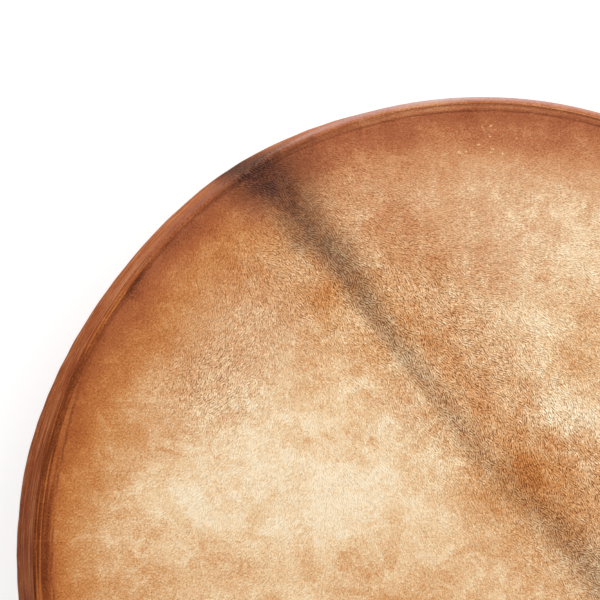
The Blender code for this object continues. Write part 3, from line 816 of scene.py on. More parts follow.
def hide_tone(f, place, pale, mark):
    """The tone: the paleness, moved by clouds, mottles, stains, flecks and torn-edged marks."""
    cloud = f.slope(f.noise(place, 22.0, 5.0, 0.62, 0.3), 0.25, 0.75, -0.11, 0.11)
    mottle = f.slope(f.noise(f.shifted(place, 0.3, 0.1), 85.0, 6.0, 0.68, 0.4), 0.25, 0.75, -0.09, 0.09)
    grain = f.slope(f.noise(place, 1000.0, 2.0, 0.6), 0.2, 0.8, -0.25, 0.25)
    flakes = f.noise(f.shifted(place, 0.7, 0.2, 0.1), 38.0, 10.0, 0.70, 0.7)
    stain = f.ease(flakes, 0.505, 0.525) * f.ease(pale, 0.45, 0.85, 0.03, 0.11)
    crumbs = f.noise(f.shifted(place, 0.15, 0.9, 0.4), 95.0, 9.0, 0.75, 0.6)
    fleck = f.ease(crumbs, 0.54, 0.56, 0.0, 0.10)
    edge = f.noise(f.shifted(place, 0.9, 0.6, 0.2), 75.0, 8.0, 0.72, 0.5)
    torn = mark + f.slope(edge, 0.25, 0.75, -0.16, 0.16)
    marks = f.ease(torn, 0.13, 0.16, 0.0, 0.07) - f.ease(torn, -0.15, -0.18, 0.0, 0.10)
    calm = f.ease(pale, 0.1, 0.7, 0.45, 1.0)
    return pale + ((cloud + mottle + grain - stain + fleck) * calm + marks * calm)


def rim_lines(f, place, run, on_rim):
    """Fine lines round the rim and the side wall: their noise, and what they add to the tone."""
    x, y, _ = f.split(place)
    edge = f.slope(run, 0.2445, 0.2520, 0.0, 5.0)
    lines = f.noise(f.join(x * 20.0, y * 20.0, run * 290.0 + edge), 1.0, 1.5, 0.45, 0.2)
    thread = f.ease(f.maths("ABSOLUTE", lines - 0.5), 0.0, 0.06, -0.09, 0.02)
    thread = thread * f.ease(run, 0.2500, 0.2540, 1.0, 0.6)
    streak = (f.ease(lines, 0.3, 0.7, -0.15, 0.15) + thread) * on_rim
    streak = streak * f.ease(run, 0.2440, 0.2465, 0.45, 0.7) * f.ease(run, 0.2600, 0.3000, 1.25, 0.8)
    return lines, streak * f.ease(x, -0.26, -0.12, 1.1, 0.5)


def wall_spots(f, place, run):
    """Soft spots and upright folds of the side wall, which fade over its foot."""
    x, y, _ = f.split(place)
    spots = f.slope(f.noise(place, 42.0, 4.0, 0.6, 0.4), 0.3, 0.7, -0.09, 0.09)
    folds = f.noise(f.join(x * 140.0, y * 140.0, run * 18.0), 1.0, 2.0, 0.5)
    spots = spots + f.ease(folds, 0.3, 0.7, -0.10, 0.06) * f.ease(run, 0.282, 0.306)
    return spots * f.ease(run, 0.2500, 0.2580) * f.ease(run, 0.3080, 0.3140, 1.0, 0.35)


def hide_colour(f, tone, run, cool):
    """The bare hide's colour: warm or cool by its tone, redder on the wall, with a painted pink sheen on
    the rim's lit top.
    """
    colour = f.blend(cool, f.ramp(tone, WARM_TONES), f.ramp(tone, COOL_TONES))
    on_wall = f.ease(run, 0.2480, 0.2540) * f.ease(run, 0.3050, 0.3140, 1.0, 0.0)
    colour = f.blend(on_wall, colour, WALL_RED, "MULTIPLY")
    # Painted sheen: pink laid over the rim's top where the light falls
    painted_sheen = f.ease(run, 0.2464, 0.2492) * f.ease(run, 0.2535, 0.2620, 0.85, 0.15) * cool
    return f.blend(painted_sheen, colour, PAINTED_RIM_SHEEN)


def add_spine(f, colour, place, run, dark):
    """The colour with the dark spine over it: bark brown, umber in its middle, sooty on the rim."""
    smear = f.slope(f.noise(place, 160.0, 5.0, 0.7, 0.5), 0.25, 0.75, 0.55, 1.20)
    middle = f.blend(f.ease(run, 0.241, 0.2475), UMBER, SOOT)
    middle = f.blend(f.ease(dark, 0.60, 0.86), BARK, middle)
    return f.blend(f.maths("MINIMUM", dark * smear, 0.93), colour, middle)


def add_hair(f, colour, place, flow, nap, dark):
    """The colour with a close nap over it, thickest where it is dark, and single hairs.

    Also gives how much pale hair and how much dark hair there is, for the bump."""
    nappy = f.maths("MAXIMUM", nap, dark)
    streaks = hair_nap(f, place, flow)
    single = hair_marks(f, place, flow, (0.31, 0.17, 0.0), 0.0026, 0.00026, 0.0012, 0.55)
    second = hair_marks(f, place, flow, (0.53, 0.71, 0.0), 0.0018, 0.00022, 0.0009, 0.40)
    bright = hair_marks(f, place, flow, (0.87, 0.37, 0.0), 0.0018, 0.00024, 0.0010, 0.45)
    clump = f.slope(f.noise(place, 330.0, 2.0, 0.6), 0.3, 0.7, 0.46, 0.50)
    black = f.ease(dark * 0.12 + clump - streaks, 0.0, 0.14) * nappy
    single = f.maths("MAXIMUM", single, second) * f.ease(nappy, 0.0, 1.0, 0.35, 0.9)
    black = f.maths("MAXIMUM", black, single) * f.ease(dark, 0.5, 0.9, 1.0, 0.94)
    white = f.maths("MAXIMUM", f.ease(streaks, 0.54, 0.66), bright)
    white = f.maths("MULTIPLY", white, nap - dark * 0.75, clamp=True)
    colour = f.blend(white, colour, PALE_HAIR, "MULTIPLY")
    return f.blend(black, colour, DARK_HAIR, "MULTIPLY"), white, black


def add_chips(f, colour, place, run):
    """The colour with small pale chips in loose groups near the top of the rim."""
    y = f.split(place)[1]
    chips = f.ease(f.noise(f.shifted(place, 0.4, 0.5), 230.0, 3.0, 0.6), 0.645, 0.67)
    chips = chips * f.ease(f.noise(place, 21.0, 2.0), 0.48, 0.54)
    chips = chips * f.ease(run, 0.236, 0.246, 1.0, 0.0) * f.ease(y, 0.185, 0.215)
    return f.blend(chips * 0.75, colour, CHIP)


def add_crease(f, colour, place, run, crease):
    """The colour with painted shade in the crease, a dark line in broken dashes, and a painted reflection,
    a paler line along the wall's foot.
    """
    x = f.split(place)[0]
    worn = crease + f.slope(f.noise(place, 90.0, 4.0, 0.6), 0.3, 0.7, -0.0006, 0.0006)
    # Painted shade: the crease is darkened where shade falls in it, more on the left
    line = f.ease(f.maths("ABSOLUTE", worn), 0.0001, 0.0008, 1.0, 0.0)
    dashes = f.ease(f.noise(place, 55.0, 5.0, 0.7), 0.40, 0.62, 0.08, 0.65)
    dashes = dashes * f.ease(f.maths("ABSOLUTE", x), 0.226, 0.236, 0.42, 1.0)
    colour = f.blend(line * dashes, colour, CREASE_PAINTED_SHADE)
    # Painted reflection: a paler line along the wall's foot, for the white surround seen at its edge
    foot = f.ease(run, 0.3040, 0.3085) * f.ease(run, 0.311, 0.317, 1.0, 0.0)
    return f.blend(foot * 0.5, colour, FOOT_PAINTED_REFLECTION)


def grain_side_finish():
    """The hide's grain side: oil-stained cream to red brown, with the shaved hair's short marks."""
    f = Finish("rawhide_grain_side", roughness=0.6, specular=0.015)
    place = f.field("flat", "Vector")
    names = ("pale", "dark", "nap", "run", "cool", "crease")
    pale, dark, nap, run, cool, crease = (f.field(name) for name in names)
    cosine, sine, mark = f.split(f.field("flow", "Vector"))
    flow = f.maths("ARCTAN2", sine, cosine) * 0.5
    on_rim = f.ease(crease, 0.0, 0.0016) * f.ease(run, 0.311, 0.315, 1.0, 0.0)
    lines, streak = rim_lines(f, place, run, on_rim)
    tone = hide_tone(f, place, pale, mark) + wall_spots(f, place, run)
    tone = f.maths("ADD", tone, streak, clamp=True)
    colour = add_spine(f, hide_colour(f, tone, run, cool), place, run, dark)
    colour, white, black = add_hair(f, colour, place, flow, nap, dark)
    colour = add_chips(f, colour, place, run)
    f.colour(add_crease(f, colour, place, run, crease))
    f.roughness(f.slope(tone, 0.0, 1.0, 0.50, 0.66) + on_rim * 0.3)
    relief = white * 0.6 - black * 0.9 + f.noise(place, 700.0, 4.0, 0.65) * 0.8
    f.bump(relief + lines * on_rim * 2.2, 0.00014, 0.8)
    return f.material


def flesh_side_finish():
    """The hide's flesh side, scraped: pale parchment with the dark spine showing through."""
    f = Finish("rawhide_flesh_side", roughness=0.6, specular=0.3)
    place = f.place()
    cloud = f.slope(f.noise(place, 18.0, 6.0, 0.6, 0.5), 0.25, 0.75, 0.16, 0.46)
    fibre = f.noise(f.stretch(place, (1.0, 5.0, 1.0), turn=0.85), 90.0, 5.0, 0.65, 0.6)
    tone = f.field("pale") * 0.45 + cloud
    tone = f.maths("ADD", tone, f.slope(fibre, 0.3, 0.7, -0.07, 0.07), clamp=True)
    colour = f.ramp(tone, [
        (0.1, (.36, .17, .075)), (0.45, (.60, .38, .20)), (0.75, (.76, .57, .35)), (1.0, (.84, .70, .48)),
    ])
    veins = f.ease(f.noise(f.shifted(place, 0.2, 0.4), 19.0, 4.0, 0.55, 0.9), 0.478, 0.522)
    colour = f.blend(veins * (1.0 - veins) * 1.1, colour, (.52, .30, .17))
    f.colour(f.blend(f.field("dark") * 0.5, colour, (.22, .13, .09)))
    f.bump(fibre + f.noise(place, 500.0, 4.0, 0.7), 0.00018, 0.6)
    return f.material


# The hoop


def bearing_height(radius):
    """Height of the bevelled bearing edge, which falls inwards at 45 degrees from its peak."""
    peak = EDGE_CENTRE + (EDGE_ROUND - HIDE - FIT_GAP) * math.cos(math.radians(70.0))
    top = DRUM_DEPTH - EDGE_ROUND + (EDGE_ROUND - HIDE - FIT_GAP) * math.sin(math.radians(70.0))
    return top - (peak - radius)


def ply_section(index, outer, inner):
    """Corners of one ply's section where its faces lie at these radii, as arrays of one length."""
    low = np.full(outer.shape, HOOP_FLOOR)
    if index == 0:
        tuck = EDGE_ROUND - HIDE - FIT_GAP
        spots = list(arc(EDGE_CENTRE, DRUM_DEPTH - EDGE_ROUND, tuck, 70, 0, 4))
        spots += list(arc(EDGE_CENTRE, EDGE_ROUND, tuck, 0, -90, 4))
        whole = HOOP_OUTSIDE - PLY
        made = [(inner + (r - whole) * (outer - inner) / PLY, low * 0 + z) for r, z in spots]
        return made + [(inner, low), (inner, bearing_height(inner))]
    soft = 0.0005
    share = np.minimum((outer - inner) / PLY, 1.0)
    return [
        (outer, bearing_height(outer) - soft), (outer, low + soft), (outer - soft * share, low),
        (inner + soft * share, low), (inner, low + soft), (inner, low + 0.02), (inner, low + 0.04),
        (inner, bearing_height(inner) - soft), (inner + soft * share, bearing_height(inner)),
        (outer - soft * share, bearing_height(outer) - soft),
    ]


def make_ply(index, name, node, wood):
    """One bent ply: its section carried once round, thinned to nothing where its two ends lap.

    At the start of the lap the inner face comes out to meet the outer one, at its end the outer
    face goes in to meet the inner one, with the glue line's gap between the two slopes."""
    outside = HOOP_OUTSIDE - index * (PLY + FIT_GAP)
    lap = SCARF_LENGTH / outside
    start = FIRST_SCARF + index * SCARF_STEP - lap / 2
    turn = np.concatenate([
        np.linspace(0.0, lap, 13), np.linspace(lap, 2 * math.pi, 240)[1:-1],
        2 * math.pi + np.linspace(0.0, lap, 13),
    ])
    gap = SCARF_GAP / PLY
    inner = outside - PLY * np.clip(turn / lap - gap, 0.004, 1.0)
    outer = outside - PLY * np.clip((turn - 2 * math.pi) / lap + gap, 0.0, 0.996)
    ways = np.stack([np.cos(start + turn), np.sin(start + turn)])
    grid = np.stack([np.stack([*(r * ways), z], -1) for r, z in ply_section(index, outer, inner)], 1)
    ply = make_piece(name, closed_tube(grid), [wood], sharp=35.0)
    points = read_points(ply)
    x, y, _ = points.T
    radius = np.hypot(x, y)
    run = np.mod(np.arctan2(y, x) - start, 2 * math.pi) * outside
    later = (run < SCARF_LENGTH) & ((outside - radius) / PLY > run / SCARF_LENGTH)
    add_field(ply, "run", np.where(later, run + 2 * math.pi * outside, run))
    add_field(ply, "through", radius)
    write_points(ply, lean_in(points))
    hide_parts(node)
    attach(ply, "root")


def ash_finish():
    """Bent ash: pale straight grain that runs round the hoop, with pores and a few darker bands."""
    f = Finish("bent_ash", roughness=0.55, specular=0.3)
    run, through = f.field("run"), f.field("through")
    height = f.split(f.place())[2]
    sway = f.noise(f.join(run * 9.0, through, 0.0), 1.0, 2.0)
    high = height + sway * 0.006
    rings = f.noise(f.join(run * 2.2, high * 210.0, through * 420.0), 1.0, 3.0, 0.6, 0.2)
    pores = f.noise(f.join(run * 60.0, high * 2600.0, through * 420.0), 1.0, 2.0, 0.6)
    colour = f.ramp(rings, [
        (0.30, (.50, .31, .155)), (0.46, (.66, .46, .27)), (0.58, (.74, .56, .36)), (0.72, (.60, .40, .22)),
    ])
    dark_pores = f.ease(pores, 0.42, 0.30) * f.ease(rings, 0.60, 0.38, 0.25, 0.9)
    colour = f.blend(dark_pores, colour, (.55, .45, .36), "MULTIPLY")
    cloud = f.ease(f.noise(f.place(), 14.0, 4.0, 0.6), 0.3, 0.7, 0.0, 0.45)
    colour = f.blend(cloud, colour, (.86, .78, .68), "MULTIPLY")
    edge = f.ease(height, 0.010, 0.0015, 0.0, 0.5)
    f.colour(f.blend(edge, colour, (.72, .58, .44), "MULTIPLY"))
    f.roughness(f.ease(pores, 0.3, 0.7, 0.66, 0.46))
    f.bump(pores * 0.5 + rings, 0.00015, 0.6)
    return f.material


# The lace


def over_flap():
    """Height of the lace where it clears the edge of the flap."""
    top = flap_height(FLAP_EDGE) + HIDE / math.cos(FLAP_SLOPE)
    return top + (LACE_RADIUS + FIT_GAP) / math.cos(FLAP_SLOPE)


def under_flap():
    """Height of the lace where it crosses from hole to hole below the flap."""
    return flap_height(HOLE_CIRCLE) - (LACE_RADIUS + FIT_GAP) / math.cos(FLAP_SLOPE)


def leg_corners(arm, leg):
    """Corners of one leg from its hole to its sleeve's inner end, each with a bend radius."""
    angle = arm * 2 * math.pi / ARMS
    hole = HOLE_CIRCLE * axes_at(angle + (leg - (LEGS_PER_ARM - 1) / 2) * LEG_STEP)[0]
    across = (leg // 2 - 1.5) * COLUMN_PITCH
    height = RING_HEIGHT + (ROW_OFFSET if leg % 2 == 0 else -ROW_OFFSET)
    clear = 2 * LACE_RADIUS
    return [
        (hole + (0.0, 0.0, under_flap()), HOLE_BEND), (hole + (0.0, 0.0, over_flap()), HOLE_BEND),
        (np.array([SLEEVE_END + clear, across, height]) @ axes_at(angle), MOUTH_BEND),
        (np.array([SLEEVE_START - clear, across, height]) @ axes_at(angle), MOUTH_BEND),
    ]


def hitch_points(arm, column):
    """The lace round the ring: an arc over its top, round its inner side and out below it."""
    across = (column - 1.5) * COLUMN_PITCH
    middle = math.sqrt(RING_RADIUS**2 - across**2)
    reach = SLEEVE_START - 2 * LACE_RADIUS - middle
    start = math.atan2(ROW_OFFSET, reach) + math.acos(HITCH_RADIUS / math.hypot(reach, ROW_OFFSET))
    start = math.degrees(start)
    turn = arc(middle, RING_HEIGHT, HITCH_RADIUS, start, 360 - start, 28)
    return [np.array([x, across, z]) @ axes_at(arm * 2 * math.pi / ARMS) for x, z in turn]


def bend(before, corner, after, radius):
    """A corner made round: points on the arc of that radius that touches both straights."""
    back, on = before - corner, after - corner
    back, on = back / np.linalg.norm(back), on / np.linalg.norm(on)
    opening = math.acos(float(np.clip(back @ on, -1.0, 1.0)))
    turn = math.pi - opening
    if turn < math.radians(2.0):
        return [corner]
    touch = radius / math.tan(opening / 2)
    centre = corner + (back + on) / np.linalg.norm(back + on) * radius / math.sin(opening / 2)
    first, last = corner + back * touch - centre, corner + on * touch - centre
    shares = np.linspace(0.0, 1.0, math.ceil(turn / math.radians(15.0)) + 1)
    return [centre + (math.sin((1 - t) * turn) * first + math.sin(t * turn) * last) / math.sin(turn)
            for t in shares]


def knot_place():
    """Middle of the knot in the first leg, and the leg's direction outwards."""
    corners = leg_corners(0, 0)
    mouth, hole = corners[2][0], corners[1][0]
    return mouth + (hole - mouth) * KNOT_SHARE, (hole - mouth) / np.linalg.norm(hole - mouth)


def lace_line():
    """The lace's line, from the knot through every hole and round every hitch back to the knot."""
    route = []
    for arm in range(ARMS):
        for leg in range(LEGS_PER_ARM):
            corners = leg_corners(arm, leg)
            if leg % 2 == 0:
                route += corners + [(point, None) for point in hitch_points(arm, leg // 2)]
            else:
                route += corners[::-1]
    middle, along = knot_place()
    face = KNOT_LENGTH / 2 - 0.0034
    route = [(middle - along * face, None)] + route[2:] + route[:2] + [(middle + along * face, None)]
    points = []
    for i, (point, radius) in enumerate(route):
        points += [point] if radius is None else bend(route[i - 1][0], point, route[i + 1][0], radius)
    return np.array(points)


def make_lace(finish):
    """The rawhide lace: one strip rolled up wet, so an edge winds round it as a shallow groove.

    The section's radius dips at the groove, and swells and thins a little along the lace."""
    line, run = even_steps(lace_line(), 0.00115)
    winding = 2 * math.pi / 0.021

    def section(angle, far):
        turn = np.angle(np.exp(1j * (angle - far * winding)))
        groove = 0.00042 * np.exp(-((turn / 0.36) ** 2))
        flat = 0.00010 * (1.0 - np.cos(2 * turn))
        swell = 0.00005 * (1.0 + np.sin(far * 61.0 + np.sin(far * 23.0)))
        return LACE_RADIUS - groove - flat - swell

    grids = closed_tube(tube_grid(line, run, 10, section))
    lace = make_piece("rawhide_lacing", grids, [finish], sharp=60.0)
    write_points(lace, lean_in(read_points(lace)))
    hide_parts("lacing")
    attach(lace, "root")


def make_knot(finish):
    """The knot that joins the lace's ends: four turns wound round them, and two cut tails."""
    middle, along = knot_place()
    side = np.cross(along, (0.0, 0.0, 1.0))
    side /= np.linalg.norm(side)
    axes = np.stack([along, side, np.cross(side, along)])
    half = KNOT_LENGTH / 2

    def strand(line, radius):
        line, run = even_steps(line @ axes + middle, 0.0006)
        taper = np.sqrt(np.clip(np.minimum(run, run[-1] - run) / 0.0008, 0.12, 1.0))[:, None]
        tube = tube_grid(line, run, 10, lambda angle, _: radius * taper * (1.0 - 0.06 * np.cos(3 * angle)))
        return closed_tube(tube)

    turn = np.linspace(0.0, 4.2 * 2 * math.pi, 220)
    far = np.linspace(-half + 0.0015, half - 0.0015, 220)
    wide = 0.00290 - 0.0003 * (far / half) ** 2
    grids = strand(np.stack([far, wide * np.cos(turn), wide * np.sin(turn)], -1), 0.00140)
    bow = np.linspace(0.0, 1.0, 14)
    for sign in (-1, 1):
        far = sign * (half - 0.0028 - 0.0030 * bow)
        grids += strand(np.stack([far, np.full(14, sign * -0.0028), 0.0005 * bow], -1), 0.0011)
    knot = make_piece("lace_knot_wraps", grids, [finish], sharp=60.0)
    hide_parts("lace_knot")
    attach(knot, "root")


def lace_finish():
    """Rawhide lace: amber, with darker streaks and dry pale wear."""
    f = Finish("rawhide_lace", roughness=0.42, specular=0.4)
    place = f.place()
    cloud = f.noise(place, 60.0, 5.0, 0.65, 0.4)
    grain = f.noise(place, 900.0, 4.0, 0.7)
    tone = f.slope(cloud, 0.25, 0.75, 0.1, 0.8) + f.slope(grain, 0.25, 0.75, -0.14, 0.14)
    f.colour(f.ramp(tone, [
        (0.0, (.36, .17, .065)), (0.35, (.56, .33, .15)), (0.65, (.70, .50, .28)), (1.0, (.80, .65, .43)),
    ]))
    f.roughness(f.ease(grain, 0.3, 0.7, 0.36, 0.52))
    f.bump(grain + cloud * 2.0, 0.00012, 0.6)
    return f.material


# The grip


def carry(section, line, across, up):
    """A section of (across, up) pairs carried along a line with its own across and up arrows."""
    wide = across[:, None] * section[None, :, 0, None]
    return line[:, None] + wide + up[:, None] * section[None, :, 1, None]


def c_section(line, leather):
    """A strip of leather seen end on, from its middle line: its two faces, and its rounded edges."""
    along = np.gradient(line, axis=0)
    along /= np.linalg.norm(along, axis=1, keepdims=True)
    out = np.stack([along[:, 1], -along[:, 0]], -1) * leather * LEATHER_SHARE / 2
    cap = np.radians([60.0, 0.0, -60.0])[:, None]
    caps = [along[i] * CUT_ROUND * np.cos(cap) + out[i] * np.sin(cap) for i in (0, -1)]
    return np.concatenate([line + out, line[-1] + caps[1], (line - out)[::-1], line[0] - caps[0]])


def stitch(line, radius):
    """A short loop of thread along a line."""
    tube = tube_grid(line, np.arange(len(line)), 6, lambda _, run: np.full((len(run), 6), radius))
    return closed_tube(tube, 1)


def make_ring_wrap(finish, thread):
    """Leather folded round the steel ring and sewn on the ring's outer side.

    The strip's section is a nearly closed circle about the wire; it puckers in a little at each
    stitch, and the stitches are short loops of thread across the seam."""
    stitches = 44
    inside = RING_WIRE + FIT_GAP
    middle = inside + WRAP_LEATHER / 2
    seam = math.degrees(SEAM_GAP / inside) + 3.0
    section = c_section(arc(0.0, 0.0, middle, -seam, seam - 360.0, 26), WRAP_LEATHER)
    turn = np.arange(440) * 2 * math.pi / 440
    out = np.stack([np.cos(turn), np.sin(turn), 0 * turn], -1)
    line = out * RING_RADIUS + (0.0, 0.0, RING_HEIGHT)
    grid = carry(section, line, out, np.broadcast_to((0.0, 0.0, 1.0), out.shape))
    # Its outer face dips at the stitches near the seam, and wanders a little all over
    away = grid - line[:, None]
    reach = np.linalg.norm(away, axis=-1, keepdims=True)
    face = np.clip((reach - middle) / (WRAP_LEATHER / 2), 0.0, 1.0)
    outward = np.clip((away * out[:, None]).sum(-1, keepdims=True) / reach, -1.0, 1.0)
    near_seam = np.clip((outward - 0.55) / 0.45, 0.0, 1.0)
    pinch = np.cos(turn * stitches)[:, None, None] ** 2
    wander = soft_noise(grid, 260.0, 31)[..., None]
    grid = grid - away / reach * face * (0.00022 * near_seam * pinch + 0.00008 * (1.0 + wander))
    grids = [(np.concatenate([grid, grid[:1]]), True, 0)]
    bow = np.radians(np.linspace(-30.0, 30.0, 9))
    lift = middle + WRAP_LEATHER * 0.36
    loop = [RING_RADIUS + lift * np.cos(bow), 0.0006 * np.sin(bow * 3), RING_HEIGHT + lift * np.sin(bow)]
    for index in range(stitches):
        grids += stitch(np.stack(loop, -1) @ axes_at((index + 0.5) * 2 * math.pi / stitches), 0.00032)
    wrap = make_piece("ring_leather", grids, [finish, thread])
    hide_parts("ring_wrap")
    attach(wrap, "root")


def sleeve_line():
    """Middle of the sleeve's leather seen along the arm: a rounded oblong open at its seam."""
    wide, high = SLEEVE_WIDE - SLEEVE_CORNER, SLEEVE_HIGH - SLEEVE_CORNER
    gap = SEAM_GAP / 2 + CUT_ROUND
    low_left, high_left, high_right, low_right = (
        arc(x, z, SLEEVE_CORNER, start, start - 90, 6)
        for x, z, start in ((-wide, -high, 270), (-wide, high, 180), (wide, high, 90), (wide, -high, 0))
    )
    return np.concatenate([
        [(-gap, -SLEEVE_HIGH), (-wide / 2, -SLEEVE_HIGH)], low_left, high_left,
        [(-wide / 2, SLEEVE_HIGH), (0.0, SLEEVE_HIGH), (wide / 2, SLEEVE_HIGH)], high_right, low_right,
        [(wide / 2, -SLEEVE_HIGH), (gap, -SLEEVE_HIGH)],
    ])


def sleeve_grid(arm, axes, stitches):
    """The sleeve's section carried along the arm: drawn in at its ends, at its stitches and over the
    lace legs, with its two cut ends a little ragged."""
    far = np.linspace(SLEEVE_START, SLEEVE_END, 61)
    line = np.stack([far, 0 * far, 0 * far + RING_HEIGHT], -1) @ axes
    section = c_section(sleeve_line(), SLEEVE_LEATHER)
    across, up = (np.broadcast_to(each, line.shape) for each in axes[1:])
    grid = carry(section, line, across, up)
    share = np.linspace(0.0, 1.0, 61)[:, None]
    x, z = section.T
    # The section runs along its inner face first, then back along its outer face
    outer = np.zeros(len(section))
    outer[len(sleeve_line()) + 3:-3] = 1.0
    legs = 0.00010 * (1.0 + np.cos(x / COLUMN_PITCH * 2 * math.pi)) * (np.abs(z) > 0.003)
    wander = soft_noise(grid, 230.0, 40 + arm)
    ends = np.exp(-np.minimum(share, 1 - share) * 22.0)
    seam = (z < -0.003) * np.exp(-((x / 0.0022) ** 2)) * np.cos(share * stitches * math.pi) ** 2
    dip = outer * (legs + 0.00009 * (1.0 + wander) + 0.00016 * ends + 0.00018 * seam)
    way = np.stack([x / 0.008, z / 0.0045], -1)
    way /= np.linalg.norm(way, axis=-1, keepdims=True)
    grid = grid - dip[..., None] * (way @ axes[1:])
    ragged = 0.0006 * np.abs(soft_noise(grid, 300.0, 50 + arm))[..., None] * axes[0]
    grid[0] += ragged[0]
    grid[-1] -= ragged[-1]
    return grid


def make_sleeve(arm, finish, thread):
    """One leather sleeve round an arm's lace legs, sewn along the back with crossed stitches."""
    stitches = 9
    axes = axes_at(arm * 2 * math.pi / ARMS)
    grid = sleeve_grid(arm, axes, stitches)
    grids = [(grid, True, 0)]
    # Each cut end is closed by drawing the section in onto the strip's own middle line
    half = len(sleeve_line())
    onto = np.concatenate([np.arange(half), [half - 1] * 3, np.arange(half)[::-1], [0] * 3])
    for end in (grid[0], grid[-1]):
        middle = (end[:half] + end[half + 3:-3][::-1]) / 2
        grids.append((np.stack([end, middle[onto]]), True, 0))
    low = RING_HEIGHT - SLEEVE_HIGH - SLEEVE_LEATHER * 0.42
    bow = np.linspace(-1.0, 1.0, 9)
    for index in range(stitches):
        spot = SLEEVE_START + (index + 0.5) / stitches * (SLEEVE_END - SLEEVE_START)
        for sign in (-1, 1):
            loop = [spot + sign * 0.0013 * bow, 0.0019 * bow, low - 0.00006 + 0.0005 * bow**4]
            grids += stitch(np.stack(loop, -1) @ axes, 0.00030)
    sleeve = make_piece(f"grip_leather_{arm + 1}", grids, [finish, thread])
    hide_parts(f"arm_sleeve_{arm + 1}")
    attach(sleeve, "root")


def leather_finish():
    """Brown grip leather: pebbled grain, rubbed paler on the crowns, darker in the pores."""
    f = Finish("brown_grip_leather", roughness=0.5, specular=0.4)
    place = f.place()
    cells = f.node("TexVoronoi", "Distance", {"feature": "DISTANCE_TO_EDGE"}, Vector=place, Scale=2300.0)
    crowns = f.ease(cells, 0.0, 0.22)
    cloud = f.noise(place, 70.0, 5.0, 0.6, 0.3)
    fine = f.noise(place, 1500.0, 3.0, 0.6)
    tone = f.slope(cloud, 0.25, 0.75, 0.15, 0.85) + f.slope(fine, 0.25, 0.75, -0.12, 0.12)
    colour = f.ramp(tone, [(0.0, (.060, .026, .012)), (0.5, (.125, .055, .024)), (1.0, (.215, .105, .048))])
    f.colour(f.blend((1.0 - crowns) * 0.6, colour, (.50, .44, .40), "MULTIPLY"))
    f.roughness(f.ease(cloud, 0.3, 0.7, 0.58, 0.40))
    f.bump(crowns * 0.7 + fine, 0.00010, 0.7)
    return f.material


def thread_finish():
    """Waxed linen thread, twisted: pale strands with fine slanting furrows."""
    f = Finish("waxed_thread", roughness=0.5, specular=0.4)
    settings = {"wave_type": "BANDS", "bands_direction": "DIAGONAL"}
    twist = f.node("TexWave", "Fac", settings, Vector=f.place(), Scale=900.0, Distortion=1.5)
    f.colour(f.blend(twist, (.42, .30, .17), (.66, .53, .34)))
    f.bump(twist, 0.00008, 0.6)
    return f.material


def steel_finish():
    """The ring's bent steel rod: drawn lines along it and a brown bloom of rust at the leather."""
    f = Finish("grip_ring_steel", roughness=0.35, metallic=1.0)
    place = f.place()
    x, y, z = f.split(place)
    far = f.arrow("LENGTH", f.join(x, y, 0.0))
    drawn = f.noise(f.join(far * 3000.0, 0.0, z * 3000.0), 1.0, 3.0)
    rust = f.ease(f.noise(place, 240.0, 6.0, 0.7), 0.52, 0.68)
    f.colour(f.blend(rust, f.blend(drawn, (.42, .41, .40), (.58, .57, .55)), (.17, .075, .035)))
    f.roughness(f.ease(drawn, 0.3, 0.7, 0.28, 0.42) + rust * 0.35)
    f.bump(drawn + rust, 0.00006, 0.5)
    return f.material


# The camera, the light and the floor


def set_camera():
    """Looks at the aim from the fitted tilt and turn, with the drum's +Y up in the picture."""
    flat = math.sin(CAMERA_TILT)
    away = np.array([flat * math.cos(CAMERA_TURN), flat * math.sin(CAMERA_TURN), math.cos(CAMERA_TILT)])
    right = np.cross(-away, (0.0, 1.0, 0.0))
    right /= np.linalg.norm(right)
    data = bpy.data.cameras.new("camera")
    data.lens = CAMERA_LENS
    data.sensor_width = 36.0
    data.clip_end = 100.0
    camera = bpy.data.objects.new("camera", data)
    bpy.context.scene.collection.objects.link(camera)
    place = np.eye(4)
    place[:3] = np.stack([right, np.cross(right, -away), away, CAMERA_AIM + away * CAMERA_DISTANCE], 1)
    camera.matrix_world = Matrix(place.tolist())
    bpy.context.scene.camera = camera


def add_lamp(name, place, aim, size, watts):
    """A square soft white lamp that points at the aim and isn't seen itself."""
    data = bpy.data.lights.new(name, "AREA")
    data.shape = "SQUARE"
    data.size = size
    data.energy = watts
    lamp = bpy.data.objects.new(name, data)
    lamp.location = place
    lamp.rotation_mode = "QUATERNION"
    lamp.rotation_quaternion = (Vector(aim) - Vector(place)).to_track_quat("-Z", "Y")
    lamp.visible_camera = False
    bpy.context.scene.collection.objects.link(lamp)


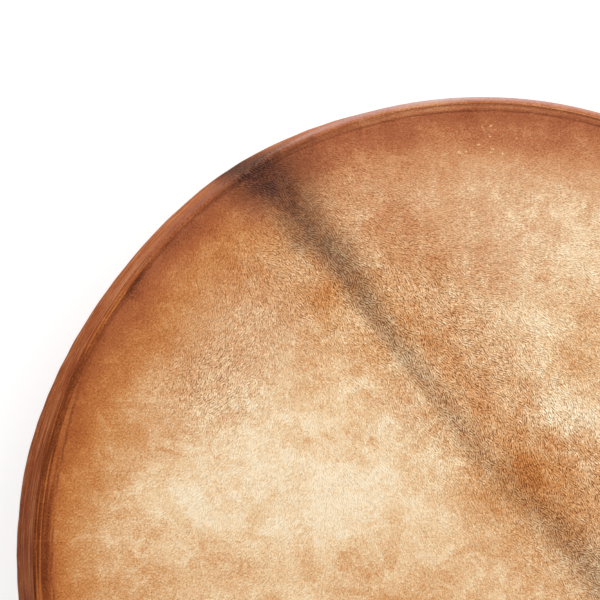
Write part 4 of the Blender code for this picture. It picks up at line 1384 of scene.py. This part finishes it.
def set_light():
    """A plain white surround, white to the camera, and soft lamps above, to a side and below."""
    world = bpy.data.worlds.new("surround")
    bpy.context.scene.world = world
    world.use_nodes = True
    world.node_tree.nodes.clear()
    nodes = Nodes(world.node_tree)
    strength = nodes.slope(nodes.seen_by("Camera", "Glossy", "Transmission"), 0.0, 1.0, SURROUND, 1.0)
    white = nodes.node("Background", Color=(1.0, 1.0, 1.0), Strength=strength)
    nodes.node("OutputWorld", None, Surface=white)
    add_lamp("key_lamp", (0.9, 1.3, 2.2), (0.0, 0.0, 0.0), 1.8, 40.0)
    add_lamp("back_lamp", (-0.6, 2.6, 0.9), (0.0, 0.0, 0.05), 1.4, 34.0)
    add_lamp("low_lamp", (0.3, -0.4, -2.2), (0.0, 0.0, 0.0), 1.6, 62.0)


def set_floor():
    """A plain pale floor that keeps the drum's soft shadow, and is clear from below."""
    corners = [(x, y, -0.0006) for x, y in ((-14, -14), (14, -14), (14, 14), (-14, 14))]
    mesh = bpy.data.meshes.new("floor")
    mesh.from_pydata(corners, [], [(0, 1, 2, 3)])
    floor = bpy.data.objects.new("floor", mesh)
    bpy.context.scene.collection.objects.link(floor)
    f = Finish("floor_white", roughness=0.9, specular=0.1)
    f.colour((.36, .36, .36))
    f.feed(f.shader.inputs["Emission Color"], (1.0, 1.0, 1.0))
    glow = f.seen_by("Camera", "Glossy", "Transmission") * FLOOR_GLOW
    f.feed(f.shader.inputs["Emission Strength"], glow)
    through = f.maths("MAXIMUM", f.node("NewGeometry", "Backfacing"), f.seen_by("Shadow"))
    white, clear = Value(f, f.shader.outputs[0]), f.node("BsdfTransparent")
    both = f.node("MixShader", 0, None, (through, white, clear))
    f.feed(f.tree.nodes["Material Output"].inputs["Surface"], both)
    mesh.materials.append(f.material)


set_camera()
set_light()
set_floor()
make_hide(grain_side_finish(), flesh_side_finish())
ash, rawhide_cord = ash_finish(), lace_finish()
leather, thread = leather_finish(), thread_finish()
for index, (name, node) in enumerate((
    ("outer_ash_ply", "hoop_outer_ply"), ("middle_ash_ply", "hoop_middle_ply"),
    ("inner_ash_ply", "hoop_inner_ply"),
)):
    make_ply(index, name, node, ash)
make_lace(rawhide_cord)
make_knot(rawhide_cord)
make_ring_wrap(leather, thread)
for arm in range(ARMS):
    make_sleeve(arm, leather, thread)
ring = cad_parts["grip_ring"]
ring.data.materials[0] = steel_finish()

bpy.context.scene.view_settings.view_transform = "Standard"
